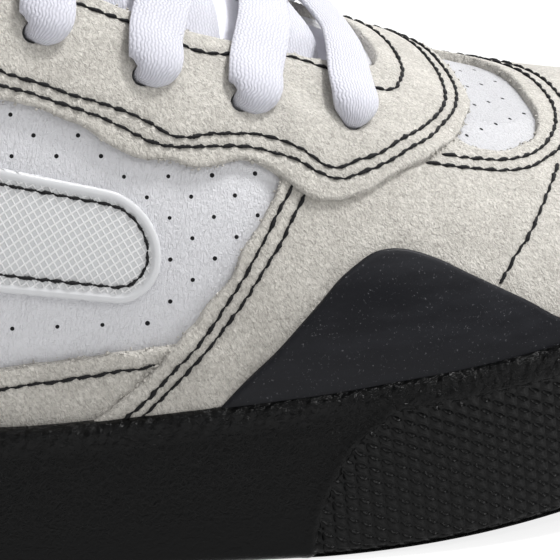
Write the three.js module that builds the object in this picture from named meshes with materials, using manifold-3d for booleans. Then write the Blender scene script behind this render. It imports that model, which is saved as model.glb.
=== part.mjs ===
// A low skateboarding shoe for the right foot, standing empty on its sole.
// Millimetres, +X to the toe, +Y to the medial (inner) side, +Z up, floor at z = 0.
import * as THREE from "three";
import { mergeVertices } from "three/addons/utils/BufferGeometryUtils.js";
import { TessellateModifier } from "three/addons/modifiers/TessellateModifier.js";
import Module from "manifold-3d";

const wasm = await Module();
wasm.setup();

// Sizes of the whole shoe
const soleLength = 298;
const ballWidth = 108;
const instepHeight = 82; // crest of the upper above the footbed, at half length
const collarHeight = 88; // top of the heel above the floor
const footbedHeight = 14; // footbed above the underside, at half length
const rimHeight = 28.8; // top of the cup wall above the underside, at the ball
const toeSpring = 16;
const heelBevel = 3;

// Walls and thicknesses
const upperWall = 2.4;
const collarPadding = 6;
const featherInset = 7.5; // upper's lower edge inside the sole's outline
const rimLean = 2.2; // how far the cup wall leans in at its rim
const edgeRound = 1.4; // rounding of the sole's lower edge
const rimRound = 0.9; // rounding of the cup wall's top edge
// Heights on the cup wall where its roundings start and end, as shares of its height
const wallLow = 0.06;
const wallMiddle = 0.45;
const wallHigh = 0.85;
const insoleThickness = 4;
const insoleClearance = 1.4; // the insole drops in between walls that lean over it
const tongueThickness = 5;
const suedeThickness = 1.3;
const eyestayThickness = 1.7;
const panelThickness = 1.4;
const rubberThickness = 1.1;
const clearance = 0.3;
const cutterMargin = 2; // how far a cutter runs past the layer it cuts

// Lacing
const eyeletDiameter = 4.4;
const laceWidth = 9;
const laceThickness = 1.8;
const laceDip = 3.2; // how far a run sinks between the eyestay and the throat
const laceDipStart = 0.35; // shares of a run where it starts to sink, and over which it sinks
const laceDipRun = 0.6;
const laceEmerges = 0.44; // where a run comes out of the throat, as a share of the eyelet spacing
const eyeletRows = [
  { u: 0.641, v: 0.357 },
  { u: 0.578, v: 0.387 },
  { u: 0.521, v: 0.405 },
  { u: 0.46, v: 0.385 },
  { u: 0.402, v: 0.38 },
  { u: 0.345, v: 0.38 },
];

// Underside
const grooveWidth = 3;
const grooveDepth = 2;
const groovePitch = 13;
const treadBorder = 10;
const archHeight = 2;
const treadRuns = [
  { from: 0.06, to: 0.3 },
  { from: 0.51, to: 0.9 },
];
const bumperStep = 0.8; // how far the toe bumper lies below the wall
const bumperBand = 4.2; // plain band left between the bumper and the rim

// Where the collar's padding is: it fades out below, towards the crest and ahead of the collar,
// as shares of the girth and of the length
const padding = { below: 0.86, belowFade: 0.16, above: 0.4, aboveFade: 0.1, ahead: 0.4, aheadFade: 0.08 };
// Where the waist of the underside is hollow, as shares of the length
const arch = { rear: 0.33, front: 0.49, fade: 0.06 };

// Ends of the outline, as shares of the length
const heelCap = 0.13;
const toeCapLateral = 0.64;
const toeCapMedial = 0.74;
const toeCapCrest = 0.84;
const springStart = 0.6;
const capPower = 2.2;
const springPower = 1.5;
const heelBevelEnd = 0.05;
const toeShift = 0.055; // the toe tip lies this share of the ball width to the medial side
const sideBulge = 0.035; // the side swells this share of its half width above the feather line

// Half widths of the sole, as shares of the ball width
const outline = [
  { s: 0.0, lateral: 0.345, medial: 0.335 },
  { s: 0.1, lateral: 0.356, medial: 0.342 },
  { s: 0.22, lateral: 0.366, medial: 0.34 },
  { s: 0.34, lateral: 0.382, medial: 0.345 },
  { s: 0.46, lateral: 0.424, medial: 0.372 },
  { s: 0.57, lateral: 0.472, medial: 0.428 },
  { s: 0.68, lateral: 0.506, medial: 0.48 },
  { s: 0.78, lateral: 0.513, medial: 0.497 },
  { s: 0.88, lateral: 0.495, medial: 0.495 },
  { s: 1.0, lateral: 0.45, medial: 0.49 },
];

// Crest of the upper: height as a share of the instep height, its side shift as a share of
// the ball width, and the power of the section's rounding
const crest = [
  { s: 0.0, height: 1.39, shift: 0.0, power: 2.1 },
  { s: 0.15, height: 1.407, shift: 0.0, power: 2.1 },
  { s: 0.24, height: 1.404, shift: 0.0, power: 2.1 },
  { s: 0.3, height: 1.354, shift: 0.0, power: 2.1 },
  { s: 0.36, height: 1.256, shift: 0.01, power: 2.15 },
  { s: 0.43, height: 1.129, shift: 0.023, power: 2.2 },
  { s: 0.5, height: 1.0, shift: 0.037, power: 2.3 },
  { s: 0.58, height: 0.85, shift: 0.046, power: 2.45 },
  { s: 0.64, height: 0.745, shift: 0.051, power: 2.6 },
  { s: 0.69, height: 0.655, shift: 0.056, power: 2.7 },
  { s: 0.745, height: 0.55, shift: 0.056, power: 2.7 },
  { s: 0.79, height: 0.489, shift: 0.056, power: 2.65 },
  { s: 0.85, height: 0.427, shift: 0.056, power: 2.6 },
  { s: 1.0, height: 0.293, shift: 0.056, power: 2.5 },
];

// Footbed and rim above the underside, as shares of the footbed and rim heights
const soleLevels = [
  { s: 0.0, footbed: 1.286, rim: 1.18 },
  { s: 0.11, footbed: 1.207, rim: 1.09 },
  { s: 0.3, footbed: 1.107, rim: 0.972 },
  { s: 0.42, footbed: 1.043, rim: 0.924 },
  { s: 0.55, footbed: 0.98, rim: 1.0 },
  { s: 0.66, footbed: 0.936, rim: 1.06 },
  { s: 0.77, footbed: 0.878, rim: 1.052 },
  { s: 0.87, footbed: 0.8, rim: 1.0 },
  { s: 1.0, footbed: 0.714, rim: 0.868 },
];

// Collar line in side view: share of the length, share of the collar height
const collarLine = [
  { s: -0.1, z: 1.0 },
  { s: 0.03, z: 1.0 },
  { s: 0.09, z: 0.955 },
  { s: 0.16, z: 0.87 },
  { s: 0.225, z: 0.84 },
  { s: 0.275, z: 0.9 },
  { s: 0.305, z: 1.02 },
  { s: 0.33, z: 1.2 },
  { s: 0.352, z: 1.45 },
  { s: 0.375, z: 1.8 },
];

// Outlines on the upper: u runs from the heel (0) to the toe (1) and v from the crest (0)
// to the feather line (1) on either side.
const throatEdge = [
  { u: 0.2, v: 0.27 },
  { u: 0.345, v: 0.27 },
  { u: 0.46, v: 0.264 },
  { u: 0.553, v: 0.245 },
  { u: 0.6, v: 0.2 },
  { u: 0.64, v: 0.165 },
  { u: 0.668, v: 0.13 },
  { u: 0.681, v: 0.07 },
  { u: 0.684, v: 0.0 },
];
const eyestayEdge = [
  { u: 0.2, v: 0.5 },
  { u: 0.345, v: 0.495 },
  { u: 0.432, v: 0.502 },
  { u: 0.467, v: 0.512 },
  { u: 0.505, v: 0.545 },
  { u: 0.542, v: 0.546 },
  { u: 0.575, v: 0.508 },
  { u: 0.611, v: 0.552 },
  { u: 0.631, v: 0.533 },
  { u: 0.657, v: 0.472 },
  { u: 0.688, v: 0.384 },
  { u: 0.712, v: 0.3 },
  { u: 0.728, v: 0.17 },
  { u: 0.74, v: 0.0 },
];
const toeVentFront = [
  { u: 0.716, v: 0.3 },
  { u: 0.73, v: 0.305 },
  { u: 0.747, v: 0.277 },
  { u: 0.764, v: 0.222 },
  { u: 0.778, v: 0.135 },
  { u: 0.787, v: 0.0 },
];
const vampRear = [
  { u: 0.603, v: 0.5 },
  { u: 0.578, v: 0.622 },
  { u: 0.558, v: 0.725 },
  { u: 0.532, v: 0.806 },
  { u: 0.5, v: 0.891 },
  { u: 0.464, v: 0.97 },
];
const rubberPatch = [
  { u: 0.52, v: 0.97 },
  { u: 0.566, v: 0.871 },
  { u: 0.61, v: 0.742 },
  { u: 0.632, v: 0.669 },
  { u: 0.643, v: 0.641 },
  { u: 0.66, v: 0.628 },
  { u: 0.683, v: 0.64 },
  { u: 0.736, v: 0.721 },
  { u: 0.79, v: 0.81 },
  { u: 0.85, v: 0.97 },
];
// Top edge of the suede strip in side view: share of the length, share of the rim height
const randLine = [
  { s: -0.1, z: 1.9 },
  { s: 0.03, z: 1.86 },
  { s: 0.1, z: 1.68 },
  { s: 0.2, z: 1.42 },
  { s: 0.32, z: 1.28 },
  { s: 0.425, z: 1.278 },
  { s: 0.51, z: 1.365 },
  { s: 1.1, z: 1.9 },
];
// Rear edge of the toe bumper in side view
const bumperRear = [
  { s: 0.594, z: -0.2 },
  { s: 0.597, z: 0.2 },
  { s: 0.607, z: 0.5 },
  { s: 0.622, z: 0.75 },
  { s: 0.64, z: 0.9 },
];
const panelCentre = { u: 0.4, v: 0.7 };
const panelLength = 54; // between the centres of its round ends
const panelHeight = 17;
const panelGirth = 105; // length of the side there for the whole range of v
const panelEndSteps = 6;
const overlayFront = { u: 0.985, v: 0.97 };
const ventOverrun = 0.03; // the toe vent's cutter runs back this far into the eyestay
const tongueEdge = [
  { u: 0.262, v: 0.0 },
  { u: 0.262, v: 0.12 },
  { u: 0.264, v: 0.24 },
  { u: 0.272, v: 0.31 },
  { u: 0.29, v: 0.345 },
  { u: 0.36, v: 0.35 },
  { u: 0.5, v: 0.34 },
  { u: 0.6, v: 0.28 },
  { u: 0.68, v: 0.22 },
  { u: 0.71, v: 0.2 },
  { u: 0.712, v: 0.0 },
];

// How finely the forms are divided
const heelSteps = 5;
const bodySteps = 14;
const toeSteps = 7;
const toeStepsFrom = 0.85; // share of the length where the steps start to close up
const sideSteps = 8;
const soleHeelSteps = 6;
const soleBodySteps = 15;
const soleToeSteps = 8;
const edgeSteps = { throat: 14, eyestay: 20, vamp: 7, vent: 9, patch: 22, tongue: 14 };
const eyeletSides = 8;
const girthScale = 85; // length that one step of v stands for in flat outlines
const cutterEdge = 14; // longest edge of a cutter's faces

// Smooth value of one column of a table, by the rows' first column
function lookup(rows, at, column, key = "s") {
  const last = rows.length - 1;
  if (at <= rows[0][key]) return rows[0][column];
  if (at >= rows[last][key]) return rows[last][column];
  let i = 0;
  while (rows[i + 1][key] < at) i += 1;
  const slope = (k) => {
    const a = rows[Math.max(k - 1, 0)];
    const b = rows[Math.min(k + 1, last)];
    return (b[column] - a[column]) / (b[key] - a[key]);
  };
  const step = rows[i + 1][key] - rows[i][key];
  const t = (at - rows[i][key]) / step;
  return (
    (1 + 2 * t) * (1 - t) ** 2 * rows[i][column] +
    t * (1 - t) ** 2 * step * slope(i) +
    t * t * (3 - 2 * t) * rows[i + 1][column] +
    t * t * (t - 1) * step * slope(i + 1)
  );
}

function smooth(t) {
  const k = Math.min(Math.max(t, 0), 1);
  return k * k * (3 - 2 * k);
}

// Round end of a plan or side outline: 1 at the start of the cap, 0 at its tip
function cap(s, start, inset) {
  const end = 1 - inset / soleLength;
  const t = Math.min(Math.max((s - start) / (end - start), 0), 1);
  return Math.max(0, 1 - t ** capPower) ** (1 / capPower);
}

function centreLine(s) {
  return toeShift * ballWidth * Math.max(0, (s - springStart) / (1 - springStart)) ** springPower;
}

function halfWidth(s, side, inset) {
  const column = side < 0 ? "lateral" : "medial";
  const start = side < 0 ? toeCapLateral : toeCapMedial;
  return (ballWidth * lookup(outline, s, column) - inset) * cap(s, start, inset);
}

function underside(s) {
  const up = toeSpring * Math.max(0, (s - springStart) / (1 - springStart)) ** springPower;
  return up + heelBevel * Math.max(0, 1 - s / heelBevelEnd) ** 2;
}

// The waist of the underside is hollowed between the heel and the forefoot
function archRise(s) {
  return archHeight * smooth((s - arch.rear) / arch.fade) * smooth((arch.front - s) / arch.fade);
}

function footbed(s) {
  return underside(s) + footbedHeight * lookup(soleLevels, s, "footbed");
}

function rim(s) {
  return underside(s) + rimHeight * lookup(soleLevels, s, "rim");
}

function crestRise(s) {
  return instepHeight * lookup(crest, s, "height") * cap(s, toeCapCrest, featherInset);
}

// Horizontal and vertical share of a section at angle phi above the feather line
function section(phi, power) {
  const up = Math.max(0, Math.sin(phi)) ** (2 / power);
  const out = Math.max(0, Math.cos(phi)) ** (2 / power);
  return { out: out + sideBulge * Math.sin(Math.PI * Math.min(1, up) ** 0.6), up };
}

const shareInset = featherInset / soleLength;
const heelCapU = (heelCap - shareInset) / (1 - 2 * shareInset);

// Outer face of the upper at u, v
function face(u, v) {
  const side = v < 0 ? -1 : 1;
  const s = shareInset + u * (1 - 2 * shareInset);
  const phi = ((1 - Math.abs(v)) * Math.PI) / 2;
  if (s < heelCap) {
    const turn = ((heelCap - s) / (heelCap - shareInset)) * (Math.PI / 2);
    const radius = section(phi, lookup(crest, heelCap, "power"));
    const depth = (heelCap - shareInset) * soleLength;
    const x = (heelCap - 0.5) * soleLength - depth * radius.out * Math.sin(turn) ** (2 / capPower);
    const reach = halfWidth(heelCap, side, featherInset);
    const y = side * reach * radius.out * Math.max(0, Math.cos(turn)) ** (2 / capPower);
    const z = footbed(x / soleLength + 0.5) + crestRise(heelCap) * radius.up;
    return new THREE.Vector3(x, y, z);
  }
  const power = lookup(crest, s, "power");
  const share = section(phi, power);
  const tip = cap(s, (toeCapLateral + toeCapMedial) / 2, featherInset);
  const middle = centreLine(s);
  const top = middle + (ballWidth * lookup(crest, s, "shift") - middle) * tip;
  const foot = middle + side * halfWidth(s, side, featherInset);
  const y = top + (foot - top) * share.out;
  return new THREE.Vector3((s - 0.5) * soleLength, y, footbed(s) + crestRise(s) * share.up);
}

// Point at distance d outside the upper's face
function place(u, v, d) {
  if (u >= 1) return face(1, v).add(new THREE.Vector3(d, 0, 0));
  if (Math.abs(v) < 1e-9 && u < heelCapU - 1e-9) return face(u, 0).add(new THREE.Vector3(0, 0, d));
  const backSeam = u <= 1e-9;
  const across = backSeam ? -Math.abs(v) : v;
  const e = 1e-4;
  const along = face(Math.min(u + e, 1), across).sub(face(Math.max(u - e, 0), across));
  const down = face(u, Math.min(across + e, 1)).sub(face(u, Math.max(across - e, -1)));
  const normal = along.cross(down);
  if (backSeam) normal.y = 0;
  return face(u, across).addScaledVector(normal.normalize(), d);
}

// Stations along the upper, closer together round the heel and the toe tip
function stations() {
  const list = [];
  for (let i = 0; i < heelSteps; i += 1) list.push((heelCapU * i) / heelSteps);
  for (let i = 0; i < bodySteps; i += 1) list.push(heelCapU + ((toeStepsFrom - heelCapU) * i) / bodySteps);
  for (let i = 0; i <= toeSteps; i += 1) {
    list.push(toeStepsFrom + (1 - toeStepsFrom) * Math.sin(((i / toeSteps) * Math.PI) / 2));
  }
  return list;
}

function girth() {
  const list = [];
  for (let i = -sideSteps; i <= sideSteps; i += 1) list.push(i / sideSteps);
  return list;
}

function solidOf(geometry) {
  const bare = geometry.clone();
  bare.deleteAttribute("normal");
  bare.deleteAttribute("uv");
  const merged = mergeVertices(bare, 1e-4);
  const index = Array.from(merged.index.array);
  const kept = [];
  for (let i = 0; i < index.length; i += 3) {
    const [a, b, c] = index.slice(i, i + 3);
    if (a !== b && b !== c && c !== a) kept.push(a, b, c);
  }
  return new wasm.Manifold(
    new wasm.Mesh({
      numProp: 3,
      vertProperties: new Float32Array(merged.attributes.position.array),
      triVerts: new Uint32Array(kept),
    }),
  );
}

// Closed form through rings of the same number of points, whose end rings fold flat. In a
// layer the second half of each ring runs back under the first and is split the same way.
function loft(rings, isLayer = false) {
  const size = rings[0].length;
  const positions = rings.flat().flatMap((p) => [p.x, p.y, p.z]);
  const index = [];
  for (let i = 0; i + 1 < rings.length; i += 1) {
    for (let j = 0; j < size; j += 1) {
      const a = i * size + j;
      const b = i * size + ((j + 1) % size);
      if (isLayer && j >= size / 2) index.push(a, a + size, b + size, a, b + size, b);
      else index.push(a, a + size, b, b, a + size, b + size);
    }
  }
  const geometry = new THREE.BufferGeometry();
  geometry.setAttribute("position", new THREE.Float32BufferAttribute(positions, 3));
  geometry.setIndex(index);
  return solidOf(geometry);
}

// Layer of the upper's own form between two distances from its face
function layer(inner, outer) {
  const across = girth();
  const rings = stations().map((u) => [
    ...across.map((v) => place(u, v, typeof outer === "function" ? outer(u, v) : outer)),
    ...across
      .slice()
      .reverse()
      .map((v) => place(u, v, typeof inner === "function" ? inner(u, v) : inner)),
  ]);
  return loft(rings, true);
}

// Filled form of the last with the upper on it, for the hollow of the cup
function lastForm(grow) {
  const across = girth();
  const rings = stations().map((u) => {
    const ring = across.map((v) => place(u, v, grow));
    const foot = (p) => new THREE.Vector3(p.x, p.y, footbed(p.x / soleLength + 0.5) - grow);
    return [foot(ring[0]), ...ring, foot(ring[ring.length - 1])];
  });
  return loft(rings);
}

// Form of the whole sole, with its outline moved out by grow and its rim raised by rise
function soleForm(grow, rise, floorDrop = 0) {
  const wallInset = (share) => {
    const bottomRound = edgeRound * Math.max(0, 1 - share / wallLow) ** 2;
    const topRound = rimRound * Math.max(0, (share - wallHigh) / (1 - wallHigh)) ** 2;
    return rimLean * share ** 1.5 + bottomRound + topRound;
  };
  const quarter = Math.PI / 2;
  const steps = [];
  for (let i = 0; i < soleHeelSteps; i += 1) steps.push(heelCap * (1 - Math.cos((i / soleHeelSteps) * quarter)));
  for (let i = 0; i < soleBodySteps; i += 1) {
    steps.push(heelCap + ((toeCapCrest - heelCap) * i) / soleBodySteps);
  }
  for (let i = 0; i <= soleToeSteps; i += 1) {
    steps.push(toeCapCrest + (1 - toeCapCrest) * Math.sin((i / soleToeSteps) * quarter));
  }
  const point = (t, side, share) => {
    const inset = wallInset(share) - grow;
    const edge = inset / soleLength;
    const s = edge + t * (1 - 2 * edge);
    const base = underside(s) - floorDrop;
    const z = base + (rim(s) + rise - base) * share;
    let width = halfWidth(s, side, inset);
    if (s < heelCap) {
      const turn = Math.acos(Math.min(1, Math.max(0, (heelCap - s) / (heelCap - edge)) ** (capPower / 2)));
      width = halfWidth(heelCap, side, inset) * Math.sin(turn) ** (2 / capPower);
    }
    return new THREE.Vector3((s - 0.5) * soleLength, centreLine(s) + side * width, z);
  };
  const rings = steps.map((t) => {
    const shares = [0, wallLow, wallMiddle, wallHigh, 1];
    const lateral = shares.map((share) => point(t, -1, share));
    const medial = shares.map((share) => point(t, 1, share)).reverse();
    const hollow = archRise(t);
    const underneath = [0.6, 0, -0.6].map((share) => {
      const p = medial[medial.length - 1].clone().lerp(lateral[0], (1 - share) / 2);
      p.z += hollow * (1 - Math.abs(share) ** 3);
      return p;
    });
    return [...lateral, ...medial, ...underneath];
  });
  return loft(rings);
}

// Solid that stands through the upper inside an outline drawn in u and v
function through(points, low, high) {
  const shape = new THREE.Shape(points.map((p) => new THREE.Vector2(p.u * soleLength, p.v * girthScale)));
  const flat = new THREE.ExtrudeGeometry(shape, { depth: 1, bevelEnabled: false });
  const fine = new TessellateModifier(cutterEdge, 12).modify(flat);
  const position = fine.attributes.position;
  for (let i = 0; i < position.count; i += 1) {
    const d = position.getZ(i) > 0.5 ? high : low;
    const p = place(position.getX(i) / soleLength, position.getY(i) / girthScale, d);
    position.setXYZ(i, p.x, p.y, p.z);
  }
  return solidOf(fine);
}

// Outline points at even steps along a table of u and v
function edgeLine(rows, side, steps) {
  const lengths = [0];
  for (let i = 1; i < rows.length; i += 1) {
    const du = (rows[i].u - rows[i - 1].u) * soleLength;
    const dv = (rows[i].v - rows[i - 1].v) * girthScale;
    lengths.push(lengths[i - 1] + Math.hypot(du, dv));
  }
  const table = rows.map((row, i) => ({ u: row.u, v: row.v, at: lengths[i] / lengths[lengths.length - 1] }));
  return Array.from({ length: steps + 1 }, (_, i) => ({
    u: lookup(table, i / steps, "u", "at"),
    v: side * lookup(table, i / steps, "v", "at"),
  }));
}

// Both sides of an outline that crosses the crest at its toe end
function mirrored(rows, steps) {
  const lateral = edgeLine(rows, -1, steps);
  const medial = edgeLine(rows, 1, steps).reverse().slice(1);
  return [...lateral, ...medial];
}

// Side-view shape pushed right across the shoe
function sidePrism(shape) {
  const geometry = new THREE.ExtrudeGeometry(shape, { depth: 2 * ballWidth, bevelEnabled: false });
  geometry.rotateX(Math.PI / 2);
  geometry.translate(0, ballWidth, 0);
  return solidOf(geometry);
}

// Everything above a line in side view
function aboveLine(rows, height) {
  const shape = new THREE.Shape();
  const steps = 26;
  const first = rows[0];
  const last = rows[rows.length - 1];
  shape.moveTo((first.s - 0.5) * soleLength, first.z * height);
  for (let i = 1; i <= steps; i += 1) {
    const s = first.s + ((last.s - first.s) * i) / steps;
    shape.lineTo((s - 0.5) * soleLength, lookup(rows, s, "z") * height);
  }
  shape.lineTo((last.s - 0.5) * soleLength, 3 * collarHeight);
  shape.lineTo((first.s - 0.5) * soleLength, 3 * collarHeight);
  return sidePrism(shape);
}

function eyeletCutter(row, side) {
  const inside = place(row.u, side * row.v, -4 * upperWall);
  const outside = place(row.u, side * row.v, 4 * upperWall);
  const axis = outside.clone().sub(inside);
  const geometry = new THREE.CylinderGeometry(eyeletDiameter / 2, eyeletDiameter / 2, axis.length(), eyeletSides);
  const turn = new THREE.Quaternion().setFromUnitVectors(new THREE.Vector3(0, 1, 0), axis.clone().normalize());
  geometry.applyQuaternion(turn);
  const middle = inside.clone().add(outside).multiplyScalar(0.5);
  geometry.translate(middle.x, middle.y, middle.z);
  return solidOf(geometry);
}

const sides = [
  { name: "lateral", side: -1 },
  { name: "medial", side: 1 },
];

const eyelets = eyeletRows.flatMap((row) => sides.map(({ side }) => eyeletCutter(row, side)));
const throat = through(mirrored(throatEdge, edgeSteps.throat), -3 * upperWall, 4 * upperWall);
const aboveCollar = aboveLine(collarLine, collarHeight);
const belowRim = soleForm(0, clearance);

// Inner face of the upper, thicker round the collar
function innerFace(u, v) {
  const low = smooth((padding.below - Math.abs(v)) / padding.belowFade);
  const high = smooth((Math.abs(v) - padding.above) / padding.aboveFade);
  const behind = smooth((padding.ahead - u) / padding.aheadFade);
  return -(upperWall + collarPadding * low * high * behind);
}

function makeUpper() {
  let wall = layer(innerFace, 0).subtract(aboveCollar).subtract(throat);
  for (const hole of eyelets) wall = wall.subtract(hole);
  return wall;
}

// Overlay: the part of a thin layer that lies inside an outline
function overlay(points, low, thickness) {
  const cutter = through(points, low - cutterMargin, low + thickness + cutterMargin);
  return layer(low, low + thickness).intersect(cutter);
}

// Cutter for the overlays, which all lie within a few clearances of the upper
function throughOverlays(points) {
  return through(points, -cutterMargin, eyestayThickness + 2 * cutterMargin);
}

function eyestayOutline(grow) {
  const moved = eyestayEdge.map((row) => ({ u: row.u + grow / soleLength, v: row.v + grow / girthScale }));
  moved[moved.length - 1].v = 0;
  return mirrored(moved, edgeSteps.eyestay);
}

function makeEyestay() {
  let band = overlay(eyestayOutline(0), clearance, eyestayThickness);
  band = band.subtract(aboveCollar).subtract(throat);
  for (const hole of eyelets) band = band.subtract(hole);
  return band;
}

// Toe and vamp overlay, from its slanting rear edges round the toe, less the toe vent
function vampOutline(grow) {
  const rear = vampRear.map((row) => ({ u: row.u - grow / soleLength, v: row.v }));
  return [
    ...edgeLine(rear, -1, edgeSteps.vamp).reverse(),
    ...edgeLine(rear, 1, edgeSteps.vamp),
    { u: overlayFront.u, v: overlayFront.v },
    { u: overlayFront.u, v: -overlayFront.v },
  ];
}

function makeVamp() {
  const back = toeVentFront[0];
  const hidden = back.u - ventOverrun;
  const vent = [...mirrored(toeVentFront, edgeSteps.vent), { u: hidden, v: back.v }, { u: hidden, v: -back.v }];
  return overlay(vampOutline(0), clearance, suedeThickness)
    .subtract(throughOverlays(eyestayOutline(2 * clearance)))
    .subtract(throughOverlays(vent))
    .subtract(belowRim);
}

// Low suede strip round the heel and quarters, butting on the vamp overlay
function makeRand() {
  return layer(clearance, clearance + suedeThickness)
    .subtract(aboveLine(randLine, rimHeight))
    .subtract(throughOverlays(vampOutline(2 * clearance)))
    .subtract(belowRim);
}

function makePatch() {
  const low = 2 * clearance + suedeThickness;
  return overlay(edgeLine(rubberPatch, -1, edgeSteps.patch), low, rubberThickness).subtract(belowRim);
}

// Plain reinforcement with round ends on the quarter
function makePanel(side) {
  const points = [];
  const half = panelHeight / 2;
  for (let i = 0; i <= 2 * panelEndSteps + 1; i += 1) {
    const end = i <= panelEndSteps ? 1 : -1;
    const turn = (((i - (end < 0 ? 1 : 0)) / panelEndSteps) * Math.PI) - Math.PI / 2;
    const x = (end * panelLength) / 2 + half * Math.cos(turn);
    const y = half * Math.sin(turn);
    points.push({ u: panelCentre.u + x / soleLength, v: side * (panelCentre.v - y / panelGirth) });
  }
  return overlay(points, clearance, panelThickness);
}

function makeTongue() {
  const high = -(upperWall + clearance);
  const low = high - tongueThickness;
  const edge = mirrored(tongueEdge, edgeSteps.tongue);
  return layer(low, high).intersect(through(edge, low - cutterMargin, high + cutterMargin));
}

function makeInsole() {
  const inset = -(upperWall + insoleClearance);
  const rings = stations().map((u) => {
    const foot = [-1, 1].map((v) => place(u, v, inset)).map((p) => p.setZ(footbed(p.x / soleLength + 0.5)));
    const top = foot.map((p) => p.clone().setZ(p.z + insoleThickness));
    return [foot[0], top[0], top[1], foot[1]];
  });
  return loft(rings);
}

// Cup sole: the outer form less the last's hollow, the tread grooves and the bumper's step
function makeSole() {
  const tread = treadRuns.flatMap(({ from, to }) => {
    const grooves = [];
    for (let x = from * soleLength; x <= to * soleLength; x += groovePitch) grooves.push(grooveBox(x));
    return grooves;
  });
  const inside = soleForm(-treadBorder, 0, 2 * grooveDepth);
  const skin = soleForm(bumperStep, 0, edgeRound).subtract(soleForm(-bumperStep, 0, 2 * edgeRound));
  let sole = soleForm(0, 0).subtract(lastForm(clearance)).subtract(skin.intersect(bumperRegion()));
  for (const groove of tread) sole = sole.subtract(groove.intersect(inside));
  return sole;
}

function grooveBox(x) {
  const s = x / soleLength;
  const box = new THREE.BoxGeometry(grooveWidth, 2 * ballWidth, 2 * grooveDepth);
  box.translate(x - soleLength / 2, 0, underside(s) + archRise(s));
  return solidOf(box);
}

// Side view of the toe bumper: below the plain band under the rim, ahead of its curved rear edge
function bumperRegion() {
  const shape = new THREE.Shape();
  const rear = bumperRear.map((row) => ({ x: (row.s - 0.5) * soleLength, z: row.z * rimHeight }));
  shape.moveTo(rear[0].x, rear[0].z);
  shape.splineThru(rear.slice(1).map((p) => new THREE.Vector2(p.x, p.z)));
  const top = bumperRear[bumperRear.length - 1].s;
  const steps = 16;
  for (let i = 1; i <= steps; i += 1) {
    const s = top + ((1 - top) * i) / steps;
    shape.lineTo((s - 0.5) * soleLength, rim(s) - bumperBand);
  }
  shape.lineTo(soleLength / 2 + cutterMargin, rim(1) - bumperBand);
  shape.lineTo(soleLength / 2 + cutterMargin, bumperRear[0].z * rimHeight);
  return sidePrism(shape);
}

// Flat lace lying on the upper between two places given as u, v and height over the upper
function strip(from, to, rise) {
  const steps = 6;
  const at = (t) => {
    const u = from.u + (to.u - from.u) * t;
    const v = from.v + (to.v - from.v) * t;
    return { u, v, d: rise(t) };
  };
  const rings = [];
  for (let i = 0; i <= steps; i += 1) {
    const here = at(i / steps);
    const ahead = at(i / steps + 0.01);
    const p = place(here.u, here.v, here.d);
    const normal = place(here.u, here.v, here.d + 1).sub(p).normalize();
    const along = place(ahead.u, ahead.v, ahead.d).sub(p);
    const across = along.cross(normal).normalize();
    const corner = (w, h) => p.clone().addScaledVector(across, (w * laceWidth) / 2).addScaledVector(normal, h);
    rings.push([corner(-1, 0), corner(1, 0), corner(1, laceThickness), corner(-1, laceThickness)]);
  }
  const fold = (ring) => [ring[0], ring[1], ring[1], ring[0]];
  return loft([fold(rings[0]), ...rings, fold(rings[steps])]);
}

const laceLow = 3 * clearance + eyestayThickness;
const holeReach = (eyeletDiameter / 2 + clearance) / girthScale;

function makeLaceBar() {
  const row = eyeletRows[0];
  const reach = row.v - holeReach;
  return strip({ u: row.u, v: -reach }, { u: row.u, v: reach }, () => laceLow);
}

// One crossing: each run starts on the eyestay at the upper pair of holes and ends in the
// throat, beside the lower hole of the other side
function makeLaceCross(lower, upper) {
  const runs = [-1, 1].map((side) => {
    const over = { u: upper.u, v: side * (upper.v - holeReach) };
    const endU = lower.u + (upper.u - lower.u) * laceEmerges;
    const under = { u: endU, v: -side * (lookup(throatEdge, endU, "v", "u") - laceWidth / 2 / girthScale) };
    return strip(over, under, (t) => laceLow - laceDip * smooth((t - laceDipStart) / laceDipRun));
  });
  return runs[0].add(runs[1]);
}

const colours = {
  leather: { color: 0xd8dade, roughness: 0.55 },
  suede: { color: 0xcdc8be, roughness: 0.95 },
  rubber: { color: 0x161718, roughness: 0.55 },
  patch: { color: 0x1f2025, roughness: 0.5 },
  lace: { color: 0xecebf6, roughness: 0.85 },
  tongue: { color: 0xdcdce6, roughness: 0.85 },
  insole: { color: 0xb9b6b0, roughness: 0.9 },
};

const group = new THREE.Group();

function add(name, solid, look) {
  const mesh = solid.getMesh();
  const geometry = new THREE.BufferGeometry();
  geometry.setAttribute("position", new THREE.BufferAttribute(new Float32Array(mesh.vertProperties), 3));
  geometry.setIndex(new THREE.BufferAttribute(new Uint32Array(mesh.triVerts), 1));
  geometry.computeVertexNormals();
  const piece = new THREE.Mesh(geometry, new THREE.MeshStandardMaterial({ ...colours[look], metalness: 0 }));
  piece.name = name;
  group.add(piece);
}

add("cupsole", makeSole(), "rubber");
add("insole", makeInsole(), "insole");
add("upper", makeUpper(), "leather");
add("tongue", makeTongue(), "tongue");
add("eyestay", makeEyestay(), "suede");
add("vamp_overlay", makeVamp(), "suede");
add("rand_strip", makeRand(), "suede");
add("rubber_patch", makePatch(), "patch");
for (const { name, side } of sides) add(`side_panel_${name}`, makePanel(side), "leather");
add("lace_bar", makeLaceBar(), "lace");
for (let i = 1; i < eyeletRows.length; i += 1) {
  add(`lace_cross_${i}`, makeLaceCross(eyeletRows[i - 1], eyeletRows[i]), "lace");
}

export default group;
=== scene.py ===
import math
import bpy
import numpy as np
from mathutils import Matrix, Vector
from mathutils.geometry import delaunay_2d_cdt
from mathutils.kdtree import KDTree


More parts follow.
